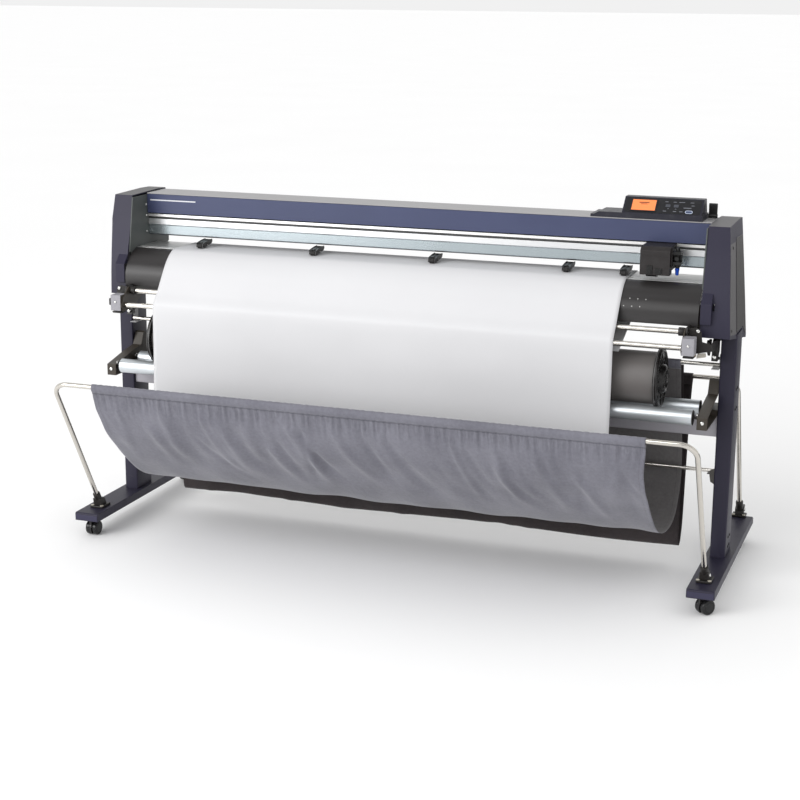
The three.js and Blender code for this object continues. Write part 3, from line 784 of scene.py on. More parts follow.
def smoothed(stations, count):
    """Points evenly spaced on a smooth line through the stations: a Catmull-Rom spline, each span
    a cubic whose slope at a station is half the step between that station's neighbours."""
    stations = np.asarray(stations, float)
    padded = np.vstack((2 * stations[0] - stations[1], stations, 2 * stations[-1] - stations[-2]))
    t = np.linspace(0.0, 1.0, 40, endpoint=False)[:, None]
    spans = []
    for i in range(1, len(padded) - 2):
        a, b, c, d = padded[i - 1:i + 3]
        bent, twisted = 2 * a - 5 * b + 4 * c - d, 3 * b - a - 3 * c + d
        spans.append(0.5 * (2 * b + (c - a) * t + bent * t ** 2 + twisted * t ** 3))
    fine = np.vstack((*spans, stations[-1:]))
    gone = np.concatenate(([0.0], np.cumsum(np.linalg.norm(np.diff(fine, axis=0), axis=1))))
    even = np.linspace(0.0, gone[-1], count)
    return np.column_stack([np.interp(even, gone, fine[:, k]) for k in range(fine.shape[1])])


def normals_of(line):
    """The unit normal to the left of a line of (y, z) points."""
    step = np.gradient(np.asarray(line, float), axis=0)
    step /= np.linalg.norm(step, axis=1)[:, None]
    return np.column_stack((-step[:, 1], step[:, 0]))


guide_stations = np.array([
    (-36, 983), (-52, 978), (-74, 966), (-92, 950), (-109, 932), (-119, 912), (-122, 890), (-121, 866),
]) * 0.001
guide_line = smoothed(guide_stations, 40)
guide_normals = normals_of(guide_line)
guide_thick = 0.003
guide_outline = np.vstack((
    guide_line + guide_normals * guide_thick / 2, (guide_line - guide_normals * guide_thick / 2)[::-1],
))
guide_coat = Finish("guide_skin_black", Specular_IOR_Level=0.5)
guide_point = guide_coat.place()
guide_grain = guide_coat.noise(guide_coat.scaled(guide_point, (40.0, 700.0, 700.0)), 1.0, 3.0, 0.6)
guide_streaks = guide_coat.noise(guide_coat.scaled(guide_point, (3.0, 14.0, 14.0)), 1.0, 4.0)
guide_rub = guide_coat.ramp(guide_streaks, 0.45, 0.8)
guide_black = guide_coat.paint(
    Base_Color=guide_coat.mixed(guide_rub, (0.020, 0.018, 0.018), (0.030, 0.028, 0.029)),
    Roughness=0.36 + guide_grain * 0.10 - guide_rub * 0.05,
    Normal=guide_coat.raised(guide_grain, 0.0002, 0.35),
)
low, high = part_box("front_guide")
skin = prism(guide_outline, low.x, high.x)
piece("front_guide_skin", skin, guide_black, "machine", "front_guide")

hole_rim = powder_coat("suction_hole_rim", (0.55, 0.55, 0.54), 0.5)
ring_profile = [(0.0008, 0.0), (0.0018, 0.0), (0.0018, 0.0004), (0.0008, 0.0004), (0.0008, 0.0)]
hole_pitch = 0.025
rims = []
for height, start in ((0.936, 0.767), (0.915, 0.751)):
    k = int(np.argmin(np.abs(guide_line[:, 1] - height)))
    depth, rise = guide_line[k] + guide_normals[k] * -guide_thick / 2
    outward = (0.0, -guide_normals[k][0], -guide_normals[k][1])
    for step in range(3):
        ring = turned(ring_profile, axis="Z", count=16)
        rims.append(placed(ring, facing(outward), (start + hole_pitch * step, depth, rise)))
piece("suction_holes", joined(*rims), hole_rim, "machine")


# ------------------------------------------------------------------ drive shaft and pinch rollers
# One steel shaft with knurled drums turns under slots in the bed. Above each drum a sprung black arm,
# hinged under the rail, presses a rubber wheel on the sheet. The set lever lifts all the arms together.
shaft_low, shaft_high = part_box("drive_shaft")
shaft_y, shaft_z = (shaft_low.y + shaft_high.y) / 2, (shaft_low.z + shaft_high.z) / 2
drum_radius = (shaft_high.z - shaft_low.z) / 2
knurl = Finish("knurled_steel", Metallic=1.0)
knurl_point = knurl.place()
teeth = knurl.node("ShaderNodeTexVoronoi", None, {"Vector": knurl_point, "Scale": 900.0})
knurled_steel = knurl.paint(
    Base_Color=knurl.mixed(teeth, (0.30, 0.30, 0.30), (0.72, 0.71, 0.69)),
    Roughness=0.30 + teeth * 0.2,
    Normal=knurl.raised(teeth, 0.0004, 0.8),
)
pinch_count = 5
pinch_places = []
for i in range(1, pinch_count + 1):
    low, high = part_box(f"pinch_wheel_{i}")
    pinch_places.append(((low.x + high.x) / 2, (low.y + high.y) / 2, (low.z + high.z) / 2))
shaft_profile = [(0.0, shaft_low.x), (0.0035, shaft_low.x)]
for x, _, _ in pinch_places:
    for at, radius in ((-0.030, 0.0035), (-0.030, drum_radius - 0.0008), (-0.0292, drum_radius),
                       (0.0292, drum_radius), (0.030, drum_radius - 0.0008), (0.030, 0.0035)):
        shaft_profile.append((radius, x + at))
shaft_profile += [(0.0035, shaft_high.x), (0.0, shaft_high.x)]
piece(
    "drive_shaft_steel", turned(shaft_profile, (0.0, shaft_y, shaft_z), count=32), knurled_steel,
    "drive_shaft", "drive_shaft", crease=40.0,
)

arm_black = glossy_plastic("pinch_arm_black", (0.013, 0.012, 0.012), 0.32)
wheel_rubber = glossy_plastic("pinch_wheel_rubber", (0.018, 0.017, 0.017), 0.55, 0.5)
spring_steel = bright_steel("spring_steel", (0.55, 0.53, 0.50), 0.25)
for i, (x, y, z) in enumerate(pinch_places, start=1):
    arm_node, wheel_node = f"pinch_arm_{i}", f"pinch_wheel_{i}"
    piece(
        arm_node + "_casting", copied(arm_node), arm_black, arm_node, arm_node, ease=0.0009,
        steps=3,
    )
    rim = [(0.0, -0.012), (0.0025, -0.012), (0.0025, -0.0084), (0.0062, -0.0080), (0.0070, -0.0078)]
    rim += [(0.0078, -0.0072), (0.0080, -0.0062), (0.0080, -0.0030), (0.0077, -0.0026), (0.0080, -0.0022)]
    profile = rim + [(r, -at) for r, at in rim[::-1]]
    piece(
        wheel_node + "_rubber", turned(profile, (x, y, z), count=40), wheel_rubber, wheel_node,
        wheel_node, crease=40.0,
    )
    rib_outline = [(y + 0.012, z + 0.0085), (y + 0.056, 1.0100), (y + 0.056, 1.0128), (y + 0.014, 1.0085)]
    rib = prism(rib_outline, x - 0.0022, x + 0.0022)
    pins = []
    for radius, start, stop, depth, height in (
        (0.0026, x - 0.0138, x + 0.0138, y + 0.062, 1.0045),
        (0.0034, x - 0.0136, x - 0.0124, y + 0.030, z + 0.003),
        (0.0034, x + 0.0124, x + 0.0136, y + 0.030, z + 0.003),
    ):
        pin_profile = [(0.0, start), (radius, start), (radius, stop), (0.0, stop)]
        pins.append(turned(pin_profile, (0.0, depth, height), count=20))
    cheek = [
        (y - 0.004, z + 0.0085), (y + 0.008, 1.0080), (y + 0.040, 1.0120), (y + 0.066, 1.0132),
        (y + 0.069, 1.0060), (y + 0.058, 1.0000), (y + 0.016, z + 0.0020),
    ]
    cheeks = [prism(cheek, x + at, x + at + 0.0018) for at in (-0.0138, 0.0120)]
    piece(f"pinch_cheeks_{i}", joined(rib, *cheeks), arm_black, arm_node, ease=0.0005)
    piece(f"pinch_pins_{i}", joined(*pins), spring_steel, arm_node, crease=40.0)


# ------------------------------------------------------------------ carriage and tool
# A moulded black cover over the carriage that runs on the rail. It carries a short arm with the
# vertical tool slide: a knurled barrel in a clamp with a thumb screw, and a blue cap on the tip.
carriage_low, carriage_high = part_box("carriage")
tool_low, tool_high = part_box("tool_holder")
carriage_black = glossy_plastic("carriage_black", (0.017, 0.014, 0.014), 0.45, 0.5)
part_black = glossy_plastic("carriage_part_black", (0.010, 0.010, 0.010), 0.34)
piece(
    "carriage_cover", copied("carriage"), carriage_black, "carriage", "carriage",
    ease=0.0032, steps=3,
)
front, bottom = carriage_low.y, carriage_low.z
left = carriage_low.x
details = [
    block((left + 0.022, front - 0.0030, bottom + 0.004), (left + 0.040, front, bottom + 0.030)),
    block((left + 0.026, front - 0.0052, bottom + 0.006), (left + 0.036, front - 0.0025, bottom + 0.016)),
    block((left + 0.048, front - 0.0026, bottom + 0.004), (left + 0.070, front, bottom + 0.022)),
    block((left - 0.0022, front + 0.010, bottom + 0.016), (left, front + 0.060, carriage_high.z - 0.012)),
    prism(
        [(front + 0.010, bottom - 0.006), (front + 0.030, bottom - 0.009), (front + 0.034, bottom),
         (front + 0.006, bottom)], left + 0.018, left + 0.052,
    ),
]
for k, detail in enumerate(details):
    piece(f"carriage_part_{k + 1}", detail, part_black, "carriage", ease=0.0010)
seam = block(
    (left + 0.006, front - 0.0004, carriage_high.z - 0.0285),
    (left + 0.088, front + 0.0002, carriage_high.z - 0.0278),
)
piece("carriage_seam", seam, part_black, "carriage")
pads = [
    placed(screw_head(0.0024, 0.0014), facing((0.0, -1.0, 0.0)), (left + at, front - 0.0028, bottom + up_by))
    for at, up_by in ((0.031, 0.022), (0.053, 0.013), (0.065, 0.013))
]
piece("carriage_screws", joined(*pads), screw_black, "carriage", crease=45.0)

tool_x = (tool_low.x + tool_high.x) / 2
tool_y = (tool_low.y + tool_high.y) / 2
slide = [
    block((tool_low.x, tool_low.y, 1.036), (tool_high.x, tool_high.y, 1.046)),
    block((tool_low.x, tool_low.y, 1.068), (tool_high.x, tool_high.y, 1.078)),
    block((tool_low.x, tool_y + 0.0035, 1.040), (tool_high.x, tool_high.y, 1.074)),
]
piece("tool_clamp", joined(*slide), part_black, "tool", "tool_holder", ease=0.0008)
barrel = [(0.0, 1.0252), (0.0060, 1.0252), (0.0078, 1.0275), (0.0078, 1.0330), (0.0088, 1.0338)]
barrel += [(0.0088, 1.0470), (0.0072, 1.0478), (0.0072, 1.0660), (0.0088, 1.0668), (0.0088, 1.0790)]
barrel += [(0.0068, 1.0800), (0.0068, 1.0870), (0.0058, 1.0895), (0.0, 1.0898)]
piece(
    "tool_barrel", turned(barrel, (tool_x, tool_y, 0.0), "Z", 40), part_black, "tool",
    crease=40.0,
)
ridges = 16
angle = np.linspace(0.0, 2.0 * math.pi, ridges, endpoint=False)
knob_radius = 0.0062 + 0.0006 * (np.arange(ridges) % 2)
knob_outline = np.column_stack((knob_radius * np.cos(angle), knob_radius * np.sin(angle)))
knob = placed(
    prism(knob_outline, 0.0, 0.009, "Z"), facing((0.0, -1.0, 0.0)), (tool_x, tool_low.y + 0.0045, 1.057),
)
piece("tool_thumb_screw", knob, part_black, "tool", ease=0.0004)
blue_cap = glossy_plastic("tool_cap_blue", (0.004, 0.055, 0.42), 0.28)
cap_profile = [(0.0, 1.0030), (0.0040, 1.0031), (0.0052, 1.0042), (0.0056, 1.0060), (0.0062, 1.0180)]
cap_profile += [(0.0070, 1.0190), (0.0070, 1.0245), (0.0064, 1.0250), (0.0, 1.0250)]
piece(
    "tool_cap", turned(cap_profile, (tool_x, tool_y, 0.0), "Z", 40), blue_cap, "tool",
    crease=40.0,
)


# ------------------------------------------------------------------ operator panel
# A moulded wedge on the right of the beam, with a low wing to its left. Its sloping face holds an
# amber display in a dark bezel, two arrow keys and a lit oval key. Small plain marks stand for labels.
panel_plastic_dark = glossy_plastic("control_panel_plastic", (0.011, 0.011, 0.020), 0.36, 0.5)
piece(
    "control_panel_shell", copied("control_panel"), panel_plastic_dark, "machine",
    "control_panel", ease=0.0022, steps=3,
)
deck_origin = np.array((0.0, 0.050, 1.180))
deck_slope = math.atan2(0.046, 0.050)
deck_turn = np.array([
    [1.0, 0.0, 0.0],
    [0.0, math.cos(deck_slope), -math.sin(deck_slope)],
    [0.0, math.sin(deck_slope), math.cos(deck_slope)],
])


def on_deck(part):
    return placed(part, deck_turn, deck_origin)


def plate_on_deck(x0, x1, up0, up1, low, high, corner):
    return on_deck(prism(rounded_box((x0, up0), (x1, up1), corner), low, high, "Z"))


face_film = glossy_plastic("panel_face_film", (0.008, 0.008, 0.010), 0.34, 0.3)
face = plate_on_deck(0.703, 0.942, 0.004, 0.063, 0.0, 0.0006, 0.005)
piece("panel_face", face, face_film, "machine", ease=0.0003)
display_x0, display_x1, display_up0, display_up1 = 0.724, 0.800, 0.012, 0.056
bezel_lap = 0.0005
bezel_bars = (
    (display_x0 - 0.004, display_x1 + 0.004, display_up0 - 0.0035, display_up0 + bezel_lap),
    (display_x0 - 0.004, display_x1 + 0.004, display_up1 - bezel_lap, display_up1 + 0.0035),
    (display_x0 - 0.004, display_x0 + bezel_lap, display_up0, display_up1),
    (display_x1 - bezel_lap, display_x1 + 0.004, display_up0, display_up1),
)
bezel = joined(*(plate_on_deck(*bar, 0.0006, 0.0024, 0.0006) for bar in bezel_bars))
piece("display_bezel", bezel, face_film, "machine", ease=0.0003)
glow = Finish("amber_display", Roughness=0.18)
glow_point = glow.place()
glow_cells = glow.noise(glow_point, 1500.0, 1.0)
amber = glow.mixed(glow_cells, (0.80, 0.200, 0.055), (0.90, 0.26, 0.08))
display_finish = glow.paint(Base_Color=amber, Emission_Color=amber)
glow.shader.inputs["Emission Strength"].default_value = 0.22
glass = plate_on_deck(display_x0, display_x1, display_up0, display_up1, 0.0004, 0.0018, 0.001)
piece("display_glass", glass, display_finish, "machine", "display")
dark_ink = powder_coat("display_dark_ink", (0.12, 0.035, 0.02), 0.4)
rows = [
    plate_on_deck(0.746, 0.778, 0.0420, 0.0455, 0.0018, 0.0020, 0.0005),
    plate_on_deck(0.752, 0.773, 0.0370, 0.0390, 0.0018, 0.0020, 0.0005),
]
piece("display_rows", joined(*rows), dark_ink, "machine")

key_finish = glossy_plastic("key_grey", (0.060, 0.064, 0.078), 0.35)
lit_finish = Finish("lit_key", Roughness=0.3)
lit_point = lit_finish.place()
lit_noise = lit_finish.noise(lit_point, 600.0, 2.0)
lit_colour = lit_finish.mixed(lit_noise, (0.030, 0.045, 0.10), (0.05, 0.07, 0.14))
lit_material = lit_finish.paint(Base_Color=lit_colour, Roughness=0.28 + lit_noise * 0.1)
ring_finish = powder_coat("lit_key_ring", (0.50, 0.56, 0.68), 0.35)
keys = {
    "key_enter": (0.907, 0.013, 0.022, 0.011, 0.0054, lit_material),
    "key_left": (0.838, 0.036, 0.015, 0.011, 0.0020, key_finish),
    "key_right": (0.864, 0.036, 0.015, 0.011, 0.0020, key_finish),
}
for node, (x, up_at, wide, deep, corner, coat) in keys.items():
    cap = plate_on_deck(
        x - wide / 2, x + wide / 2, up_at - deep / 2, up_at + deep / 2, -0.0026, 0.0016, corner,
    )
    piece(node + "_cap", cap, coat, node, node, ease=0.0006, steps=3)


def flat_ring(outer, inner, low, high):
    """A plate between two outlines that have the same number of points, from low to high in Z."""
    points = np.array([(x, y, level) for level in (low, high) for x, y in outer + inner])
    count = len(outer)
    i = np.arange(count)
    k = np.roll(i, -1)
    quads = np.stack((
        np.column_stack((2 * count + i, 2 * count + k, 3 * count + k, 3 * count + i)),
        np.column_stack((k, i, count + i, count + k)),
        np.column_stack((i, k, 2 * count + k, 2 * count + i)),
        np.column_stack((count + k, count + i, 3 * count + i, 3 * count + k)),
    ), axis=1)
    return points, [tuple(quad) for quad in quads.reshape(-1, 4).tolist()]


enter_x, enter_up = keys["key_enter"][:2]
outer_ring = rounded_box(
    (enter_x - 0.0118, enter_up - 0.0062), (enter_x + 0.0118, enter_up + 0.0062), 0.0060, 8,
)
inner_ring = rounded_box(
    (enter_x - 0.0100, enter_up - 0.0045), (enter_x + 0.0100, enter_up + 0.0045), 0.0044, 8,
)
ring = flat_ring(outer_ring, inner_ring, 0.0016, 0.0020)
piece("key_enter_ring", on_deck(ring), ring_finish, "key_enter")
mark_ink = powder_coat("panel_mark_ink", (0.22, 0.23, 0.26), 0.5)
marks = []
for x, up_at, wide, high in (
    (0.832, 0.052, 0.010, 0.0016), (0.858, 0.052, 0.010, 0.0016), (0.880, 0.052, 0.018, 0.0016),
    (0.912, 0.052, 0.012, 0.0016), (0.900, 0.030, 0.024, 0.0020), (0.916, 0.040, 0.010, 0.0016),
    (0.830, 0.014, 0.010, 0.0018), (0.862, 0.014, 0.010, 0.0018), (0.882, 0.014, 0.010, 0.0018),
    (0.840, 0.024, 0.004, 0.0014), (0.864, 0.024, 0.004, 0.0014),
):
    marks.append(plate_on_deck(
        x - wide / 2, x + wide / 2, up_at - high / 2, up_at + high / 2, 0.0006, 0.0008, 0.0004,
    ))
piece("panel_marks", joined(*marks), mark_ink, "machine")

# The set lever is a short black paddle with a soft rounded top, hinged on a tube across the top cover.
lever_low, lever_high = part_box("set_lever")
rib_pitch = 0.004
piece(
    "set_lever_paddle", copied("set_lever"), part_black, "set_lever", "set_lever",
    ease=0.0026, steps=4,
)
grips = [
    block(
        (lever_low.x + 0.006, 0.1420, 1.190 + rib_pitch * k),
        (lever_high.x - 0.006, 0.1440, 1.1915 + rib_pitch * k),
    )
    for k in range(3)
]
piece("set_lever_ribs", joined(*grips), part_black, "set_lever")


# ------------------------------------------------------------------ guide rods under the platen
# Two chromed rods guide the sheet down. A bronze-painted steel bracket at each end is bolted to the
# leg, with a pale grey plastic block on the lower rod and a dark clamp that holds the bracket.
bronze_paint = powder_coat("bracket_bronze_paint", (0.050, 0.042, 0.034), 0.38, (0.25, 0.22, 0.18))
block_plastic = glossy_plastic("end_block_grey", (0.29, 0.285, 0.31), 0.45, 0.4)
chrome = bright_steel("guide_rod_chrome", (0.78, 0.75, 0.70), 0.16)
dark_clamp = glossy_plastic("clamp_black", (0.018, 0.016, 0.015), 0.40, 0.3)
adjuster_brass = bright_steel("adjuster_brass", (0.42, 0.32, 0.20), 0.28)
adjuster_cream = glossy_plastic("adjuster_cream", (0.42, 0.39, 0.34), 0.4)
rod_radius = 0.0085


def rod_between(radius, low, high, chamfer=0.001):
    """The profile of a plain rod with small chamfers, from one end to the other along its axis."""
    return [
        (0.0, low), (radius - chamfer, low), (radius, low + chamfer), (radius, high - chamfer),
        (radius - chamfer, high), (0.0, high),
    ]


rod_places = {}
for node in ("upper_rod", "lower_rod"):
    low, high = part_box(node)
    y, z = rod_places[node] = ((low.y + high.y) / 2, (low.z + high.z) / 2)
    shape = turned(rod_between(rod_radius, low.x, high.x), (0.0, y, z), count=48)
    piece(node + "_chrome", shape, chrome, "machine", node, crease=35.0)
upper_y, upper_z = rod_places["upper_rod"]
lower_z = rod_places["lower_rod"][1]

collar_profile = [
    (0.0092, 0.9300), (0.0125, 0.9300), (0.0132, 0.9310), (0.0132, 0.9460), (0.0125, 0.9475),
    (0.0092, 0.9475), (0.0092, 0.9300),
]
cheek_outline = [
    (-0.1640, 0.8700), (-0.1280, 0.8720), (-0.1140, 0.8600), (-0.1160, 0.8380), (-0.1400, 0.8300),
    (-0.1680, 0.8360), (-0.1720, 0.8540),
]
clamp_outline = [
    (-0.0300, 0.7950), (-0.0050, 0.8120), (0.0080, 0.8120), (0.0080, 0.7700), (-0.0060, 0.7560),
    (-0.0180, 0.7420), (-0.0300, 0.7420), (-0.0220, 0.7660),
]
fork_outline = [
    (-0.0560, 0.8080), (-0.0440, 0.8120), (-0.0240, 0.7880), (-0.0100, 0.8080), (0.0020, 0.8060),
    (-0.0120, 0.7740), (-0.0280, 0.7580), (-0.0420, 0.7700),
]
carrier_outline = [
    (0.9560, 0.8640), (0.9860, 0.8700), (1.0000, 0.8560), (1.0040, 0.8260), (1.0330, 0.8200),
    (1.0330, 0.7980), (1.0020, 0.7920), (0.9860, 0.7880), (0.9560, 0.7940),
]
stay_outline = [
    (-0.1500, 0.7980), (-0.1500, 0.8200), (-0.1100, 0.8220), (0.0100, 0.8040), (0.0100, 0.7860),
    (-0.1000, 0.7880),
]

for side_name, side in SIDES:
    node = "rod_bracket_" + side_name
    steel, plastic = [], []
    points, faces = copied(node)
    middles = [points[list(face)].mean(axis=0) for face in faces]
    for face, middle in zip(faces, middles):
        in_block = abs(middle[0]) > 0.9541 and middle[1] < -0.1719 and abs(middle[0]) < 0.9905
        (plastic if in_block else steel).append(face)
    made = piece(
        node + "_steel", (points, steel + plastic), bronze_paint, "machine", node,
        ease=0.0008,
    )
    made.data.materials.append(block_plastic)
    made.data.polygons.foreach_set(
        "material_index", np.array([0] * len(steel) + [1] * len(plastic), dtype=np.int32),
    )
    base = prism([(-0.2150, 0.7900), (-0.1740, 0.7872), (-0.1780, 0.7815), (-0.2080, 0.7830)], 0.9560, 0.9880)
    piece("block_shoe_" + side_name, on_side(base, side), dark_clamp, "machine", ease=0.0015)
    nuts = [
        placed(screw_head(0.0070, 0.0050, 24), facing((1.0, 0.0, 0.0)), (0.9565, upper_y, upper_z)),
        placed(screw_head(0.0042, 0.0030, 20), facing((0.0, -1.0, 0.0)), (0.972, -0.2172, lower_z + 0.012)),
    ]
    nuts = on_side(joined(*nuts), side)
    piece("rod_nuts_" + side_name, nuts, bright_screw, "machine", crease=45.0)
    cheek = on_side(prism(cheek_outline, 0.9545, 0.9610), side)
    piece("rod_cheek_" + side_name, cheek, dark_clamp, "machine", ease=0.0016)
    collar = on_side(turned(collar_profile, (0.0, upper_y, upper_z), count=32), side)
    piece("rod_collar_" + side_name, collar, dark_clamp, "machine", crease=40.0)
    clamp = joined(prism(clamp_outline, 1.0140, 1.0340), prism(fork_outline, 1.0020, 1.0100))
    piece(
        "rod_clamp_" + side_name, on_side(clamp, side), dark_clamp, "machine", ease=0.0016,
    )
    carrier = joined(prism(carrier_outline, -0.1530, -0.1500, "Y"), prism(stay_outline, 1.0300, 1.0330))
    piece(
        "rod_carrier_" + side_name, on_side(carrier, side), dark_clamp, "machine",
        ease=0.0008,
    )
    nut = block((0.9740, -0.1660, 0.7800), (0.9880, -0.1520, 0.7915))
    foot_outline = [(0.9900, 0.7760), (1.0180, 0.7820), (1.0160, 0.7930), (0.9920, 0.7900)]
    foot = prism(foot_outline, -0.1640, -0.1520, "Y")
    piece("adjuster_nut_" + side_name, on_side(nut, side), adjuster_brass, "machine", ease=0.0014)
    piece("adjuster_foot_" + side_name, on_side(foot, side), adjuster_cream, "machine", ease=0.0012)
    pin = placed(screw_head(0.0060, 0.0050, 24), facing((0.0, -1.0, 0.0)), (0.9900, -0.1530, 0.8590))
    piece("carrier_pin_" + side_name, on_side(pin, side), bright_screw, "machine", crease=45.0)
    bolt = placed(screw_head(0.0062, 0.0050, 24), facing((0.0, -1.0, 0.0)), (1.024, -0.0310, 0.7560))
    piece("clamp_bolt_" + side_name, on_side(bolt, side), bright_screw, "machine", crease=45.0)

# The hanging bar and the middle bar are plain plated tubes. Small folded plates on the legs carry them.
plate_zinc = powder_coat("zinc_plate", (0.34, 0.34, 0.35), 0.35, (0.6, 0.6, 0.6))
bracket_tin = powder_coat("bar_bracket_paint", (0.150, 0.142, 0.132), 0.42, (0.4, 0.38, 0.35))
thin_bar_radius = 0.0065
leg_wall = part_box("leg_right")[0].x
on_wall = leg_wall - 0.0004
for node in ("middle_bar", "hanging_bar"):
    low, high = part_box(node)
    y, z = (low.y + high.y) / 2, (low.z + high.z) / 2
    piece(
        node + "_tube", turned(rod_between(thin_bar_radius, low.x, high.x), (0.0, y, z), count=36), chrome,
        "machine", node, crease=35.0,
    )
    if node == "hanging_bar":
        plates = joined(
            block((leg_wall - 0.024, y - 0.026, z - 0.0115), (on_wall, y + 0.030, z - 0.0085)),
            block((leg_wall - 0.003, y - 0.002, z - 0.0085), (on_wall, y + 0.030, z + 0.034)),
        )
        paint, screw_height = plate_zinc, z + 0.022
    else:
        side_outline = [
            (y - 0.034, z - 0.045), (y - 0.008, z - 0.052), (y + 0.004, z - 0.052), (y + 0.004, z + 0.012),
            (y - 0.010, z + 0.012),
        ]
        gusset_outline = [
            (leg_wall - 0.028, z - 0.014), (leg_wall - 0.028, z + 0.002), (on_wall, z + 0.016),
            (on_wall, z - 0.050), (leg_wall - 0.024, z - 0.036),
        ]
        plates = joined(
            prism(side_outline, leg_wall - 0.0034, on_wall),
            block((leg_wall - 0.036, y - 0.012, z - 0.0105), (leg_wall - 0.003, y + 0.004, z - 0.0080)),
            prism(gusset_outline, y - 0.0110, y - 0.0085, "Y"),
        )
        paint, screw_height = bracket_tin, z - 0.040
    head = placed(
        screw_head(0.0055, 0.0035), facing((-1.0, 0.0, 0.0)), (leg_wall - 0.0034, y - 0.004, screw_height),
    )
    for side_name, side in SIDES:
        piece(
            f"{node}_bracket_{side_name}", on_side(plates, side), paint, "machine",
            ease=0.0008,
        )
        piece(
            f"{node}_screw_{side_name}", on_side(head, side), screw_black, "machine",
            crease=45.0,
        )


# ------------------------------------------------------------------ stock rollers
# Two anodised aluminium tubes with black end plugs turn on pins in bronze-painted steel brackets, and
# carry the roll by friction on its flanges.
roller_metal = anodised("stock_roller_anodised", (0.70, 0.74, 0.77), 0.34)
for node, body in (("stock_roller_front", "front_roller"), ("stock_roller_rear", "rear_roller")):
    low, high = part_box(node)
    y, z = (low.y + high.y) / 2, (low.z + high.z) / 2
    radius = (high.z - low.z) / 2
    end = high.x - 0.024
    tube = turned(rod_between(radius, -end + 0.003, end - 0.003, 0.0008), (0.0, y, z), count=72)
    piece(node + "_tube", tube, roller_metal, body, node, crease=35.0)
    plug_profile = [(0.0, end - 0.0029), (radius - 0.0012, end - 0.0029), (radius - 0.0004, end - 0.0024)]
    plug_profile += [(radius - 0.0004, end - 0.0008), (radius - 0.0020, end), (0.0080, end)]
    plug_profile += [(0.0048, end + 0.0006), (0.0048, high.x - 0.001), (0.0040, high.x), (0.0, high.x)]
    plug = turned(plug_profile, count=48)
    plugs = [placed(plug, MIRROR, (0.0, y, z)), placed(plug, None, (0.0, y, z))]
    piece(node + "_plugs", joined(*plugs), dark_clamp, body, crease=35.0)

for side_name, side in SIDES:
    node = "roller_bracket_" + side_name
    piece(node + "_steel", copied(node), bronze_paint, "machine", node, ease=0.0010)
    heads = []
    for roller in ("stock_roller_front", "stock_roller_rear"):
        low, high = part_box(roller)
        y, z = (low.y + high.y) / 2, (low.z + high.z) / 2
        heads.append(placed(
            screw_head(0.0068, 0.0030, 24), facing((-1.0, 0.0, 0.0)), (1.0029, y - 0.002, z + 0.009),
        ))
    heads.append(placed(screw_head(0.0062, 0.0036, 24), facing((0.0, -1.0, 0.0)), (1.020, -0.1760, 0.5780)))
    heads = on_side(joined(*heads), side)
    piece("bracket_screws_" + side_name, heads, bright_screw, "machine", crease=45.0)


# ------------------------------------------------------------------ the loaded roll
# Grey film wound on a core, clamped between two black flanges with a pressed steel rim and a hub
# that grips the core. The wound ends show the layers as fine rings.
roll_low, roll_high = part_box("media_roll")
core_low, core_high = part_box("roll_core")
roll_y, roll_z = (roll_low.y + roll_high.y) / 2, (roll_low.z + roll_high.z) / 2
roll_radius = (roll_high.z - roll_low.z) / 2
flange_radius = (core_high.z - core_low.z) / 2
wound = Finish("wound_film", Specular_IOR_Level=0.45)
wound_point = wound.place()
from_axis = wound.node(
    "ShaderNodeVectorMath", {"operation": "LENGTH"},
    {0: wound.node("ShaderNodeMapping", None, {
        "Vector": wound_point, "Location": (0.0, -roll_y, -roll_z), "Scale": (0.0, 1.0, 1.0),
    })}, output=1,
)
layers = wound.noise(wound.node("ShaderNodeCombineXYZ", None, {0: from_axis * 900.0}), 1.0, 3.0, 0.7)
creases = wound.noise(wound.scaled(wound_point, (1.2, 20.0, 20.0)), 1.0, 3.0)
film = wound.paint(
    Base_Color=wound.mixed(layers * 0.6 + creases * 0.3, (0.095, 0.087, 0.084), (0.150, 0.140, 0.136)),
    Roughness=0.40 + creases * 0.12,
    Normal=wound.raised(layers * 0.3 + creases, 0.0006, 0.5),
)
half = roll_high.x
bore_radius, roll_ease = 0.0384, 0.0006
roll_profile = [
    (bore_radius, -half), (roll_radius - roll_ease, -half), (roll_radius, -half + roll_ease),
    (roll_radius, half - roll_ease), (roll_radius - roll_ease, half), (bore_radius, half),
    (bore_radius, -half),
]
wound_roll = turned(roll_profile, (0.0, roll_y, roll_z), count=96)
piece("media_roll_film", wound_roll, film, "loaded_roll", "media_roll", crease=35.0)
flange_black = glossy_plastic("flange_black", (0.010, 0.009, 0.009), 0.26, 0.3)
rim_steel = powder_coat("flange_rim_grey", (0.090, 0.088, 0.088), 0.35)
face_x = half + 0.016
flange_profile = [
    (0.0380, half + 0.0004), (flange_radius - 0.0022, half + 0.0004), (flange_radius, half + 0.0022),
    (flange_radius, face_x - 0.0050), (flange_radius - 0.0030, face_x - 0.0012),
    (flange_radius - 0.0070, face_x), (flange_radius - 0.0100, face_x - 0.0010),
    (flange_radius - 0.0120, face_x - 0.0040), (0.0660, face_x - 0.0050), (0.0640, face_x - 0.0030),
    (0.0610, face_x - 0.0030), (0.0590, face_x - 0.0055), (0.0480, face_x - 0.0060), (0.0460, face_x),
    (0.0440, face_x + 0.0060), (0.0400, face_x + 0.0110), (0.0360, face_x + 0.0125),
    (0.0300, face_x + 0.0120), (0.0280, face_x + 0.0070), (0.0160, face_x + 0.0060),
    (0.0140, face_x + 0.0130), (0.0120, face_x + 0.0140), (0.0, face_x + 0.0140),
]
both_flanges = [(r, -x) for r, x in flange_profile[::-1]] + flange_profile
flanges = turned(both_flanges, (0.0, roll_y, roll_z), count=80)
piece("roll_core_flanges", flanges, flange_black, "loaded_roll", "roll_core", crease=35.0)
